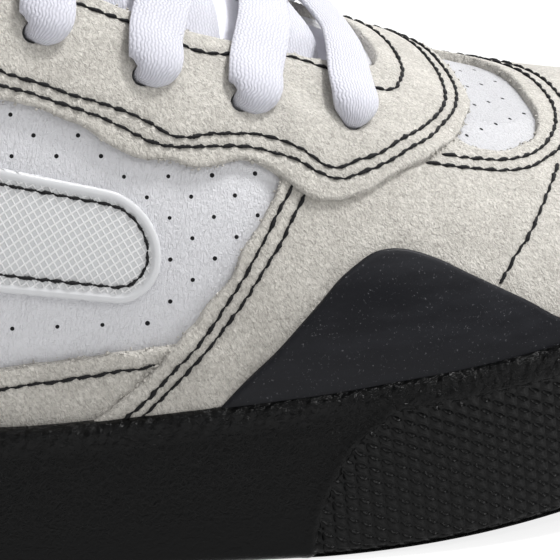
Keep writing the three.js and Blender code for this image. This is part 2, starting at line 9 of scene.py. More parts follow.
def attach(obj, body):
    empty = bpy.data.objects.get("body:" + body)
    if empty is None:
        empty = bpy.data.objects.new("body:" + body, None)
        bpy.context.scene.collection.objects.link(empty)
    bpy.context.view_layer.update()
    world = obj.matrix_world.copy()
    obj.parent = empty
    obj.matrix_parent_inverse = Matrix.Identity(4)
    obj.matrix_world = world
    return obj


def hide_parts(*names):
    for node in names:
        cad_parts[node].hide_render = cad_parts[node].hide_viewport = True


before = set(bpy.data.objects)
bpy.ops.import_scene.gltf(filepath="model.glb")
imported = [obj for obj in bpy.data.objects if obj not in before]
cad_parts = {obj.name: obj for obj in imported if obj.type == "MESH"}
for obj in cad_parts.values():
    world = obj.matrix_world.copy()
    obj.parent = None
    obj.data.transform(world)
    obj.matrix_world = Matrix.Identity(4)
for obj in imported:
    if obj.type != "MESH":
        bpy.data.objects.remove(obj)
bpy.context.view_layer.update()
RNG = np.random.default_rng(7)
MM = 0.001

SOLE_LENGTH = 298.0
BALL_WIDTH = 108.0
INSTEP_HEIGHT = 82.0
COLLAR_HEIGHT = 88.0
FOOTBED_HEIGHT = 14.0
RIM_HEIGHT = 28.8
TOE_SPRING = 16.0
HEEL_BEVEL = 3.0
UPPER_WALL = 2.4
COLLAR_PADDING = 6.0
FEATHER_INSET = 7.5
RIM_LEAN = 2.2
HEEL_CAP = 0.13
TOE_CAP = {-1: 0.64, 1: 0.74}
TOE_CAP_CREST = 0.84
SPRING_START = 0.6
CAP_POWER = 2.2
SPRING_POWER = 1.5
HEEL_BEVEL_END = 0.05
TOE_SHIFT = 0.055
SIDE_BULGE = 0.035

OUTLINE = [
    (0, .345, .335), (.1, .356, .342), (.22, .366, .34), (.34, .382, .345), (.46, .424, .372),
    (.57, .472, .428), (.68, .506, .48), (.78, .513, .497), (.88, .495, .495), (1, .45, .49),
]
CREST = [
    (0, 1.39, 0, 2.1), (.15, 1.407, 0, 2.1), (.24, 1.404, 0, 2.1), (.3, 1.354, 0, 2.1),
    (.36, 1.256, .01, 2.15), (.43, 1.129, .023, 2.2), (.5, 1, .037, 2.3), (.58, .85, .046, 2.45),
    (.64, .745, .051, 2.6), (.69, .655, .056, 2.7), (.745, .55, .056, 2.7), (.79, .489, .056, 2.65),
    (.85, .427, .056, 2.6), (1, .293, .056, 2.5),
]
LEVELS = [
    (0, 1.286, 1.18), (.11, 1.207, 1.09), (.3, 1.107, .955), (.42, 1.043, .88), (.47, 1.014, .895),
    (.55, .98, .97), (.62, .95, 1.036), (.66, .936, 1.058), (.77, .878, 1.052), (.87, .8, 1),
    (1, .714, .868),
]


class Curve:
    """Smooth curve through rows (key, value), the same as the CAD's tables."""

    def __init__(self, rows, column=1):
        self.x = np.array([row[0] for row in rows], float)
        self.y = np.array([row[column] for row in rows], float)
        index = np.arange(len(rows))
        low = np.maximum(index - 1, 0)
        high = np.minimum(index + 1, len(rows) - 1)
        self.m = (self.y[high] - self.y[low]) / (self.x[high] - self.x[low])

    def __call__(self, at):
        t = np.clip(np.asarray(at, float), self.x[0], self.x[-1])
        i = np.clip(np.searchsorted(self.x, t, side="right") - 1, 0, len(self.x) - 2)
        h = self.x[i + 1] - self.x[i]
        k = (t - self.x[i]) / h
        return ((1 + 2 * k) * (1 - k) ** 2 * self.y[i] + k * (1 - k) ** 2 * h * self.m[i]
                + k * k * (3 - 2 * k) * self.y[i + 1] + k * k * (k - 1) * h * self.m[i + 1])


WIDTHS = {-1: Curve(OUTLINE, 1), 1: Curve(OUTLINE, 2)}
CREST_HEIGHT, CREST_SHIFT, CREST_POWER = (Curve(CREST, c) for c in (1, 2, 3))
FOOTBED, RIM = (Curve(LEVELS, c) for c in (1, 2))


def smooth(t):
    k = np.clip(t, 0, 1)
    return k * k * (3 - 2 * k)


def cap(s, start, inset):
    t = np.clip((s - start) / (1 - inset / SOLE_LENGTH - start), 0, 1)
    return np.maximum(0, 1 - t ** CAP_POWER) ** (1 / CAP_POWER)


def centre_line(s):
    return TOE_SHIFT * BALL_WIDTH * np.maximum(0, (s - SPRING_START) / (1 - SPRING_START)) ** SPRING_POWER


def half_width(s, side, inset):
    return (BALL_WIDTH * WIDTHS[side](s) - inset) * cap(s, TOE_CAP[side], inset)


def underside(s):
    up = TOE_SPRING * np.maximum(0, (s - SPRING_START) / (1 - SPRING_START)) ** SPRING_POWER
    return up + HEEL_BEVEL * np.maximum(0, 1 - s / HEEL_BEVEL_END) ** 2


def footbed(s):
    return underside(s) + FOOTBED_HEIGHT * FOOTBED(s)


def rim(s):
    return underside(s) + RIM_HEIGHT * RIM(s)


SHARE_INSET = FEATHER_INSET / SOLE_LENGTH


def share_of(u):
    return SHARE_INSET + u * (1 - 2 * SHARE_INSET)


def section(phi, power):
    up = np.maximum(0, np.sin(phi)) ** (2 / power)
    out = np.maximum(0, np.cos(phi)) ** (2 / power)
    return out + SIDE_BULGE * np.sin(math.pi * np.minimum(1, up) ** 0.6), up


def face(u, v):
    """Outer face of the upper: u runs from heel to toe, v from the lateral feather line over the crest."""
    u, v = np.broadcast_arrays(np.asarray(u, float), np.asarray(v, float))
    lateral = v < 0
    s = share_of(u)
    phi = (1 - np.abs(v)) * math.pi / 2
    power = CREST_POWER(np.maximum(s, HEEL_CAP))
    out, up = section(phi, power)
    body = np.maximum(s, HEEL_CAP)
    tip = cap(body, (TOE_CAP[-1] + TOE_CAP[1]) / 2, FEATHER_INSET)
    middle = centre_line(body)
    top = middle + (BALL_WIDTH * CREST_SHIFT(body) - middle) * tip
    reach = np.where(lateral, -half_width(body, -1, FEATHER_INSET), half_width(body, 1, FEATHER_INSET))
    x = (body - 0.5) * SOLE_LENGTH
    y = top + (middle + reach - top) * out
    rise = INSTEP_HEIGHT * CREST_HEIGHT(body) * cap(body, TOE_CAP_CREST, FEATHER_INSET)
    z = footbed(body) + rise * up
    heel = s < HEEL_CAP
    turn = np.clip((HEEL_CAP - s) / (HEEL_CAP - SHARE_INSET), 0, 1) * math.pi / 2
    depth = (HEEL_CAP - SHARE_INSET) * SOLE_LENGTH
    hx = (HEEL_CAP - 0.5) * SOLE_LENGTH - depth * out * np.sin(turn) ** (2 / CAP_POWER)
    hy = reach * out * np.maximum(0, np.cos(turn)) ** (2 / CAP_POWER)
    hz = footbed(hx / SOLE_LENGTH + 0.5) + rise * up
    return np.stack([np.where(heel, hx, x), np.where(heel, hy, y), np.where(heel, hz, z)], -1)


def normal(u, v):
    e = 1e-4
    u, v = np.broadcast_arrays(np.asarray(u, float), np.asarray(v, float))
    seam = u <= 1e-9
    across = np.where(seam, -np.abs(v), v)
    along = face(np.minimum(u + e, 1), across) - face(np.maximum(u - e, 0), across)
    down = face(u, np.minimum(across + e, 1)) - face(u, np.maximum(across - e, -1))
    n = np.cross(along, down)
    n[..., 1] = np.where(seam, 0, n[..., 1])
    n = n / np.maximum(np.linalg.norm(n, axis=-1, keepdims=True), 1e-12)
    tip = u >= 1 - 1e-9
    n[tip] = (1, 0, 0)
    return n


def place(u, v, d):
    return face(u, v) + normal(u, v) * np.asarray(d, float)[..., None]


def on_face(uv):
    return face(uv[:, 0], uv[:, 1])


def over_face(uv, d):
    """Points at height d over the upper's face, the same everywhere or one for each."""
    return place(uv[:, 0], uv[:, 1], np.broadcast_to(d, len(uv)))


def level(height):
    """Height function of a layer that is equally thick everywhere."""
    return lambda u, v: np.full(np.shape(u), height)


def leather_top(u, v):
    return np.zeros(np.shape(u))


def run_length(p):
    """Distance along a line of points, from its start to each."""
    return np.r_[0, np.cumsum(np.linalg.norm(np.diff(p, axis=0), axis=1))]


def turns(count):
    return np.arange(count) * 2 * math.pi / count


def halve(onward, low, high, steps):
    """Root by halving: low moves up to the middle wherever onward(middle) holds."""
    for _ in range(steps):
        middle = (low + high) / 2
        move = onward(middle)
        low = np.where(move, middle, low)
        high = np.where(move, high, middle)
    return low


def u_at(x):
    return (x / SOLE_LENGTH + 0.5 - SHARE_INSET) / (1 - 2 * SHARE_INSET)


# Camera at the photograph's angle to the shoe
CAMERA_AZIMUTH = math.radians(-14)
CAMERA_ELEVATION = math.radians(24)
CAMERA_DISTANCE = 650.0
CAMERA_TARGET = np.array([28.0, -30.0, 43.0])
CAMERA_LENS = 244.4


def make_camera():
    back = Vector((math.sin(CAMERA_AZIMUTH) * math.cos(CAMERA_ELEVATION),
                   -math.cos(CAMERA_AZIMUTH) * math.cos(CAMERA_ELEVATION), math.sin(CAMERA_ELEVATION)))
    data = bpy.data.cameras.new("camera")
    data.lens = CAMERA_LENS
    data.sensor_width = 36
    data.clip_start = 0.01
    data.clip_end = 50
    camera = bpy.data.objects.new("camera", data)
    bpy.context.scene.collection.objects.link(camera)
    camera.location = (Vector(CAMERA_TARGET) + back * CAMERA_DISTANCE) * MM
    camera.rotation_euler = back.to_track_quat("Z", "Y").to_euler()
    bpy.context.scene.camera = camera


# Lines on the upper, u and v as in the CAD
# Length that one step of v stands for in flat outlines
GIRTH = 100.0
COLLAR = Curve([
    (-.1, 1), (.03, 1), (.09, .955), (.16, .87), (.225, .84), (.275, .9), (.305, 1.02), (.33, 1.2),
    (.352, 1.45), (.375, 1.8),
])
THROAT_ROWS = [
    (.2, .27), (.345, .27), (.46, .264), (.553, .245), (.6, .2), (.64, .165), (.668, .13), (.681, .07),
    (.684, 0),
]
THROAT = Curve(THROAT_ROWS)
THROAT_END = .684
EYESTAY_ROWS = [
    (.345, .495), (.38, .492), (.411, .514), (.431, .517), (.452, .514), (.467, .52), (.479, .526),
    (.492, .543), (.502, .55), (.518, .554), (.533, .547), (.543, .548), (.554, .538), (.565, .517),
    (.576, .506), (.587, .506), (.594, .514), (.603, .538), (.614, .553), (.624, .548), (.633, .534),
    (.645, .513), (.659, .475), (.672, .442), (.69, .39), (.712, .305), (.724, .222), (.732, .159),
    (.737, .092), (.739, 0),
]
EYESTAY_ROW_IN = [
    (.35, .452), (.4, .465), (.433, .474), (.443, .476), (.459, .476), (.473, .48), (.49, .48),
    (.508, .484), (.519, .491), (.531, .502), (.543, .494), (.552, .48), (.567, .464), (.584, .448),
    (.596, .448), (.609, .46), (.621, .482), (.63, .48), (.641, .455), (.655, .428), (.668, .386),
    (.687, .32), (.704, .244), (.715, .17), (.721, .088), (.724, 0),
]
EYESTAY_ROW_OUT = [
    (.35, .473), (.4, .488), (.432, .497), (.45, .496), (.463, .499), (.481, .502), (.496, .508),
    (.507, .516), (.516, .523), (.526, .524), (.54, .515), (.555, .5), (.577, .481), (.595, .479),
    (.605, .485), (.616, .5), (.629, .505), (.643, .481), (.661, .44), (.677, .389), (.69, .347),
    (.704, .28), (.717, .208), (.727, .121), (.731, .05), (.732, 0),
]
THROAT_ROW = [
    (.36, .3), (.42, .298), (.49, .293), (.53, .293), (.548, .298), (.56, .293), (.576, .268), (.6, .222),
    (.618, .2), (.64, .2), (.658, .212), (.671, .212), (.68, .195), (.688, .15), (.695, .09), (.698, .03),
    (.699, 0),
]
VAMP_REAR = [
    (.596, .527), (.587, .581), (.5795, .625), (.5675, .677), (.5585, .729), (.5445, .774), (.533, .81),
    (.521, .841), (.501, .89), (.487, .915), (.473, .938), (.455, .985),
]
VAMP_ROW_1 = [
    (.601, .534), (.596, .564), (.591, .59), (.583, .637), (.575, .679), (.565, .727), (.552, .78),
    (.546, .803), (.536, .834), (.521, .87), (.508, .902), (.493, .929), (.484, .945),
]
VAMP_ROW_2 = [
    (.608, .547), (.603, .575), (.5985, .601), (.591, .646), (.579, .702), (.565, .762), (.5535, .802),
    (.546, .826), (.536, .853), (.5255, .879), (.513, .907), (.502, .93), (.493, .95),
]
VENT_FRONT = [
    (.712, .29), (.718, .311), (.728, .314), (.748, .287), (.764, .241), (.774, .2), (.781, .145),
    (.786, .08), (.788, 0),
]
VENT_ROW_IN = [
    (.699, .37), (.71, .365), (.722, .355), (.741, .333), (.762, .291), (.778, .234), (.791, .156),
    (.799, .075), (.802, 0),
]
VENT_ROW_OUT = [
    (.687, .408), (.702, .401), (.717, .391), (.741, .368), (.759, .337), (.773, .295), (.787, .245),
    (.8, .165), (.808, .08), (.811, 0),
]
TOE_SEAM = [
    (.78, .31), (.77, .384), (.757, .475), (.746, .55), (.734, .614), (.725, .667), (.7205, .69),
]
PATCH_ROWS = [
    (.535, .95), (.551, .91), (.567, .872), (.583, .833), (.598, .788), (.612, .742), (.623, .703),
    (.634, .672), (.645, .645), (.655, .634), (.667, .633), (.684, .647), (.695, .663), (.71, .685),
    (.72, .699), (.737, .725), (.756, .763), (.79, .815), (.83, .9), (.845, .95),
]
RAND = Curve([
    (-.1, 1.9), (.03, 1.86), (.1, 1.68), (.2, 1.42), (.32, 1.25), (.425, 1.234), (.51, 1.32), (1.1, 1.9),
])
EYELETS = [
    (.643, .356), (.576, .386), (.5175, .403), (.4545, .389), (.399, .379), (.343, .379),
]
EYELET_RADIUS = 1.7
PANEL_CENTRE = (.4, .7)
PANEL_LENGTH = 54.0
PANEL_HEIGHT = 17.0
PANEL_GIRTH = 105.0
PANEL_ROW_INSET = 2.3
PANEL_BORDER = 2.1
PANEL_SINK = 0.35

SUEDE_TOP = 1.6
EYESTAY_TOP = 2.0
PANEL_TOP = 1.7
PATCH_TOP = 3.0


def unit(a):
    return a / np.maximum(np.linalg.norm(a, axis=-1, keepdims=True), 1e-12)


def shift(uv, move):
    """Chart points moved along the upper by move, vectors in millimetres."""
    e = 1e-3
    u, v = uv[:, 0], uv[:, 1]
    fu = (face(u + e, v) - face(u - e, v)) / (2 * e)
    fv = (face(u, v + e) - face(u, v - e)) / (2 * e)
    a, b, c = ((p * q).sum(-1) for p, q in ((fu, fu), (fu, fv), (fv, fv)))
    p, q = (fu * move).sum(-1), (fv * move).sum(-1)
    det = np.maximum(a * c - b * b, 1e-9)
    return uv + np.stack([(c * p - b * q) / det, (a * q - b * p) / det], -1)


def sideways(uv, distance, closed=False):
    """The line moved to the left of its own direction, as seen from outside the shoe."""
    p = on_face(uv)
    if closed:
        tangent = np.roll(p, -1, 0) - np.roll(p, 1, 0)
    else:
        tangent = np.gradient(p, axis=0)
    left = unit(np.cross(normal(uv[:, 0], uv[:, 1]), unit(tangent)))
    return shift(uv, left * np.asarray(distance).reshape(-1, 1))


def even(uv, step):
    """The chart line at even steps of its real length."""
    at = run_length(on_face(uv))
    count = max(int(round(at[-1] / step)), 2)
    t = np.linspace(0, at[-1], count + 1)
    return np.stack([np.interp(t, at, uv[:, 0]), np.interp(t, at, uv[:, 1])], -1)


def line(rows, side=1, step=0.8):
    """Smooth chart line through rows of u and v, on one side of the shoe."""
    p = np.array(rows, float) * (1, side)
    at = np.r_[0, np.cumsum(np.hypot(np.diff(p[:, 0]) * SOLE_LENGTH, np.diff(p[:, 1]) * GIRTH))]
    t = np.linspace(0, at[-1], max(int(at[-1] / 0.3), 8))
    u = Curve(list(zip(at, p[:, 0])))(t)
    v = Curve(list(zip(at, p[:, 1])))(t)
    return even(np.stack([u, v], -1), step)


def round_front(rows, step=0.8):
    """The line on the lateral side, across the crest at its toe end, and back on the medial side."""
    both = [*[(u, -v) for u, v in rows], *[(u, v) for u, v in rows[-2::-1]]]
    return line(both, 1, step)


def height_cut(curve, scale, u, side):
    """v at which the upper's face crosses a side-view line, 0 where it stays below it."""
    def above(v):
        p = face(u, side * v)
        return p[..., 2] > curve(p[..., 0] / SOLE_LENGTH + 0.5) * scale

    return halve(above, np.zeros_like(u), np.ones_like(u), 36)


def collar_cut(u, side):
    return height_cut(COLLAR, COLLAR_HEIGHT, u, side)


def mesh_object(name, points, faces, materials, nodes=(), uv=None, picks=None, flip=False):
    """Mesh from points in millimetres that rides on the shoe and may stand for CAD nodes."""
    data = bpy.data.meshes.new(name)
    faces = [list(f)[::-1] for f in faces] if flip else [list(f) for f in faces]
    data.from_pydata((np.asarray(points) * MM).tolist(), [], faces)
    data.validate()
    if uv is not None:
        layer = data.uv_layers.new(name="flat")
        index = np.empty(len(data.loops), int)
        data.loops.foreach_get("vertex_index", index)
        layer.data.foreach_set("uv", np.asarray(uv, float)[index].ravel())
    for material in materials:
        data.materials.append(material)
    if picks is not None:
        data.polygons.foreach_set("material_index", np.asarray(picks, int))
    data.polygons.foreach_set("use_smooth", [True] * len(data.polygons))
    data.update()
    piece = bpy.data.objects.new(name, data)
    bpy.context.scene.collection.objects.link(piece)
    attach(piece, "root")
    if nodes:
        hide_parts(*nodes)
    return piece


def grid_faces(rows, columns, start=0, wrap=False):
    """Quads of a grid of points stored row by row."""
    faces = []
    across = columns if wrap else columns - 1
    for i in range(rows - 1):
        for j in range(across):
            a = start + i * columns + j
            b = start + i * columns + (j + 1) % columns
            faces.append((a, b, b + columns, a + columns))
    return faces


def inside(points, loops):
    result = np.zeros(len(points), bool)
    for loop in loops:
        a = loop
        b = np.roll(loop, -1, 0)
        rise = np.where(np.abs(b[:, 1] - a[:, 1]) < 1e-12, 1e-12, b[:, 1] - a[:, 1])
        for k in range(0, len(points), 4000):
            x = points[k:k + 4000, 0:1]
            y = points[k:k + 4000, 1:2]
            crosses = (a[:, 1] > y) != (b[:, 1] > y)
            at = (b[:, 0] - a[:, 0]) * (y - a[:, 1]) / rise + a[:, 0]
            result[k:k + 4000] ^= ((crosses & (x < at)).sum(1) % 2).astype(bool)
    return result


FLAT = np.array([SOLE_LENGTH, GIRTH])


def spread(points, kept, gap):
    """The points that stay at least gap from each other and from those kept."""
    cells = {}

    def free(p):
        i, j = int(p[0] // gap), int(p[1] // gap)
        for a in (i - 1, i, i + 1):
            for b in (j - 1, j, j + 1):
                for q in cells.get((a, b), ()):
                    if (q[0] - p[0]) ** 2 + (q[1] - p[1]) ** 2 < gap * gap:
                        return False
        return True

    for p in kept:
        cells.setdefault((int(p[0] // gap), int(p[1] // gap)), []).append(p)
    chosen = []
    for p in points:
        if free(p):
            cells.setdefault((int(p[0] // gap), int(p[1] // gap)), []).append(p)
            chosen.append(p)
    return chosen


def nearest(targets, points):
    """Distance from each point to the closest target, both in millimetres."""
    tree = KDTree(len(targets))
    for i, p in enumerate(targets):
        tree.insert(p, i)
    tree.balance()
    return np.array([tree.find(p)[2] for p in points])


def ring(uv, radius, count):
    """Closed chart loop round one point of the upper."""
    u, v = uv
    n = normal(u, v)
    a = unit(np.cross(n, (0, 1, 0.3)))
    b = np.cross(n, a)
    turn = turns(count)
    move = radius * (np.cos(turn)[:, None] * a + np.sin(turn)[:, None] * b)
    return shift(np.tile((u, v), (count, 1)).astype(float), move)


def fuzzy(loop, amount):
    """Raw cut edge: the loop moved in and out a little, unevenly."""
    count = len(loop)
    wave = np.zeros(count)
    for period in (3, 7, 17):
        wave += np.interp(np.arange(count) / period, np.arange(count // period + 3),
                          RNG.normal(0, 1, count // period + 3))
    return sideways(loop, amount * wave / 2, True)


def sheet(name, loops, top, material, nodes, radius=0.5, spacing=1.1, rows=(), groove=0.22, low=-0.3,
          edge_rows=(0.2, 0.45, 0.9), dome=None):
    """Piece of leather, suede or rubber on the upper, inside closed chart loops, with rounded edges."""
    flat_loops = [loop * FLAT for loop in loops]
    border = np.vstack(flat_loops)
    links = []
    start = 0
    for loop in loops:
        count = len(loop)
        links += [(start + i, start + (i + 1) % count) for i in range(count)]
        start += count
    extra = []
    for loop in loops:
        for gap in edge_rows:
            extra += [sideways(loop, gap, True), sideways(loop, -gap, True)]
    for row in rows:
        extra += [row, *[sideways(row, gap) for gap in (-0.9, -0.45, 0.45, 0.9)]]
    extra = np.vstack(extra) * FLAT
    extra = extra[inside(extra, flat_loops)]
    kept = spread(extra.tolist(), border.tolist(), 0.17)
    (left, bottom), (right, top_end) = border.min(0), border.max(0)
    xs = np.arange(left, right, spacing)
    ys = np.arange(bottom, top_end, spacing * 0.87)
    grid = np.array([(x + spacing / 2 * (j % 2), y) for j, y in enumerate(ys) for x in xs])
    grid = grid[inside(grid, flat_loops)]
    kept += spread(grid.tolist(), border.tolist() + kept, spacing * 0.55)
    points = [Vector(p) for p in border.tolist() + kept]
    flat, _, triangles, *_ = delaunay_2d_cdt(points, links, [], 0, 1e-5)
    flat = np.array([tuple(p) for p in flat])
    triangles = np.array([t for t in triangles if len(t) == 3])
    middle = flat[triangles].mean(1)
    triangles = triangles[inside(middle, flat_loops)]
    uv = flat / FLAT
    skin = on_face(uv)
    edge = np.vstack([even(np.vstack([loop, loop[:1]]), 0.12) for loop in loops])
    gap = nearest(on_face(edge), skin)
    d = top(uv[:, 0], uv[:, 1])
    if dome is not None:
        d = d + dome(gap)
    near = np.clip(gap, 0, radius)
    d = d - radius + np.sqrt(np.maximum(radius ** 2 - (radius - near) ** 2, 0))
    for row in rows:
        fine = even(row, 0.15)
        away = nearest(on_face(fine), skin)
        d = d - groove * np.exp(-(away / 0.75) ** 2)
    upper = over_face(uv, d)
    used = dict.fromkeys(edge for a, b, c in triangles.tolist() for edge in ((a, b), (b, c), (c, a)))
    open_edges = [(p, q) for p, q in used if (q, p) not in used]
    below = {}
    points = upper.tolist()
    foot = over_face(uv, low)
    for p in [p for p, _ in open_edges] + [q for _, q in open_edges]:
        if p not in below:
            below[p] = len(points)
            points.append(foot[p].tolist())
    walls = [(p, below[p], below[q], q) for p, q in open_edges]
    faces = triangles.tolist() + walls
    flat_uv = np.vstack([flat, [flat[p] for p in below]]) if below else flat
    return mesh_object(name, points, faces, [material], nodes, uv=flat_uv)


class Shader:
    """One procedural material, built node by node."""

    def __init__(self, name, colour, roughness, **values):
        self.material = bpy.data.materials.new(name)
        self.material.use_nodes = True
        self.tree = self.material.node_tree
        self.bsdf = self.tree.nodes["Principled BSDF"]
        self.bsdf.inputs["Base Color"].default_value = (*colour, 1)
        self.bsdf.inputs["Roughness"].default_value = roughness
        for key, value in values.items():
            self.bsdf.inputs[key.replace("_", " ")].default_value = value
        self.space = self.tree.nodes.new("ShaderNodeTexCoord")
        self.height = None

    def put(self, socket, value):
        if isinstance(value, bpy.types.NodeSocket):
            self.tree.links.new(value, socket)
        else:
            socket.default_value = value

    def node(self, kind, inputs, output=0, **settings):
        made = self.tree.nodes.new("ShaderNode" + kind)
        for key, value in settings.items():
            setattr(made, key, value)
        for key, value in inputs.items():
            self.put(made.inputs[key], value)
        return made.outputs[output]

    def math(self, operation, a, b=0.0, c=0.0):
        return self.node("Math", {0: a, 1: b, 2: c}, operation=operation)

    def times(self, a, b):
        return self.math("MULTIPLY", a, b)

    def plus(self, a, b):
        return self.math("ADD", a, b)

    def where(self, scale=(1, 1, 1), flat=False, rotation=0.0):
        """Coordinates in millimetres times scale: of the object, or of its flat layout."""
        source = self.space.outputs["UV" if flat else "Object"]
        factor = 1.0 if flat else 1000.0
        if rotation:
            source = self.node("VectorRotate", {"Vector": source, "Angle": rotation}, rotation_type="Z_AXIS")
        return self.node("VectorMath", {0: source, 1: tuple(s * factor for s in scale)}, operation="MULTIPLY")

    def noise(self, size, detail=2.0, rough=0.5, vector=None, twist=0.0):
        vector = vector or self.where()
        inputs = {"Vector": vector, "Scale": 1 / size, "Detail": detail, "Roughness": rough}
        return self.node("TexNoise", {**inputs, "Distortion": twist})

    def cells(self, size, vector=None, feature="SMOOTH_F1"):
        inputs = {"Vector": vector or self.where(), "Scale": 1 / size}
        return self.node("TexVoronoi", inputs, feature=feature)

    def ramp(self, value, low, high, to_low=0.0, to_high=1.0):
        inputs = {"Value": value, "From Min": low, "From Max": high, "To Min": to_low, "To Max": to_high}
        return self.node("MapRange", inputs, clamp=True)

    def mix(self, factor, a, b):
        made = self.tree.nodes.new("ShaderNodeMix")
        made.data_type = "RGBA"
        self.put(made.inputs["Factor"], factor)
        self.put(made.inputs["A"], a if isinstance(a, bpy.types.NodeSocket) else (*a, 1))
        self.put(made.inputs["B"], b if isinstance(b, bpy.types.NodeSocket) else (*b, 1))
        return made.outputs["Result"]

    def bump(self, height, depth, strength=1.0):
        """Adds relief whose full height is depth millimetres."""
        inputs = {"Height": height, "Distance": depth * MM, "Strength": strength}
        if self.height is not None:
            inputs["Normal"] = self.height
        self.height = self.node("Bump", inputs)
        self.put(self.bsdf.inputs["Normal"], self.height)

    def split(self, vector):
        """The x, y and z of a vector."""
        parts = self.tree.nodes.new("ShaderNodeSeparateXYZ")
        self.put(parts.inputs[0], vector)
        return parts.outputs

    def leaning(self, degrees, sizes):
        """Coordinates tipped about the shoe's width, in steps of sizes millimetres."""
        inputs = {"Vector": self.where(), "Angle": math.radians(degrees)}
        tipped = self.node("VectorRotate", inputs, rotation_type="Y_AXIS")
        steps = tuple(1 / size for size in sizes)
        return self.node("VectorMath", {0: tipped, 1: steps}, operation="MULTIPLY")

    def set(self, name, value):
        self.put(self.bsdf.inputs[name], value)


def suede(name, light, dark):
    s = Shader(name, light, 0.95, Sheen_Weight=0.25, Sheen_Roughness=0.5, Specular_IOR_Level=0.15)
    grain = s.noise(1.0, 3.0, 0.62, vector=s.leaning(28, (0.38, 0.5, 0.8)), twist=0.9)
    tuft = s.noise(1.0, 3.0, 0.65, twist=0.8)
    patch = s.noise(8.0, 3.0, 0.55)
    shade = s.plus(s.times(grain, 0.75), s.times(tuft, 0.2))
    shade = s.plus(shade, s.times(patch, 0.2))
    s.set("Base Color", s.mix(s.ramp(shade, 0.42, 0.72), dark, light))
    s.bump(tuft, 0.35, 0.8)
    s.bump(grain, 0.55, 1.0)
    return s.material


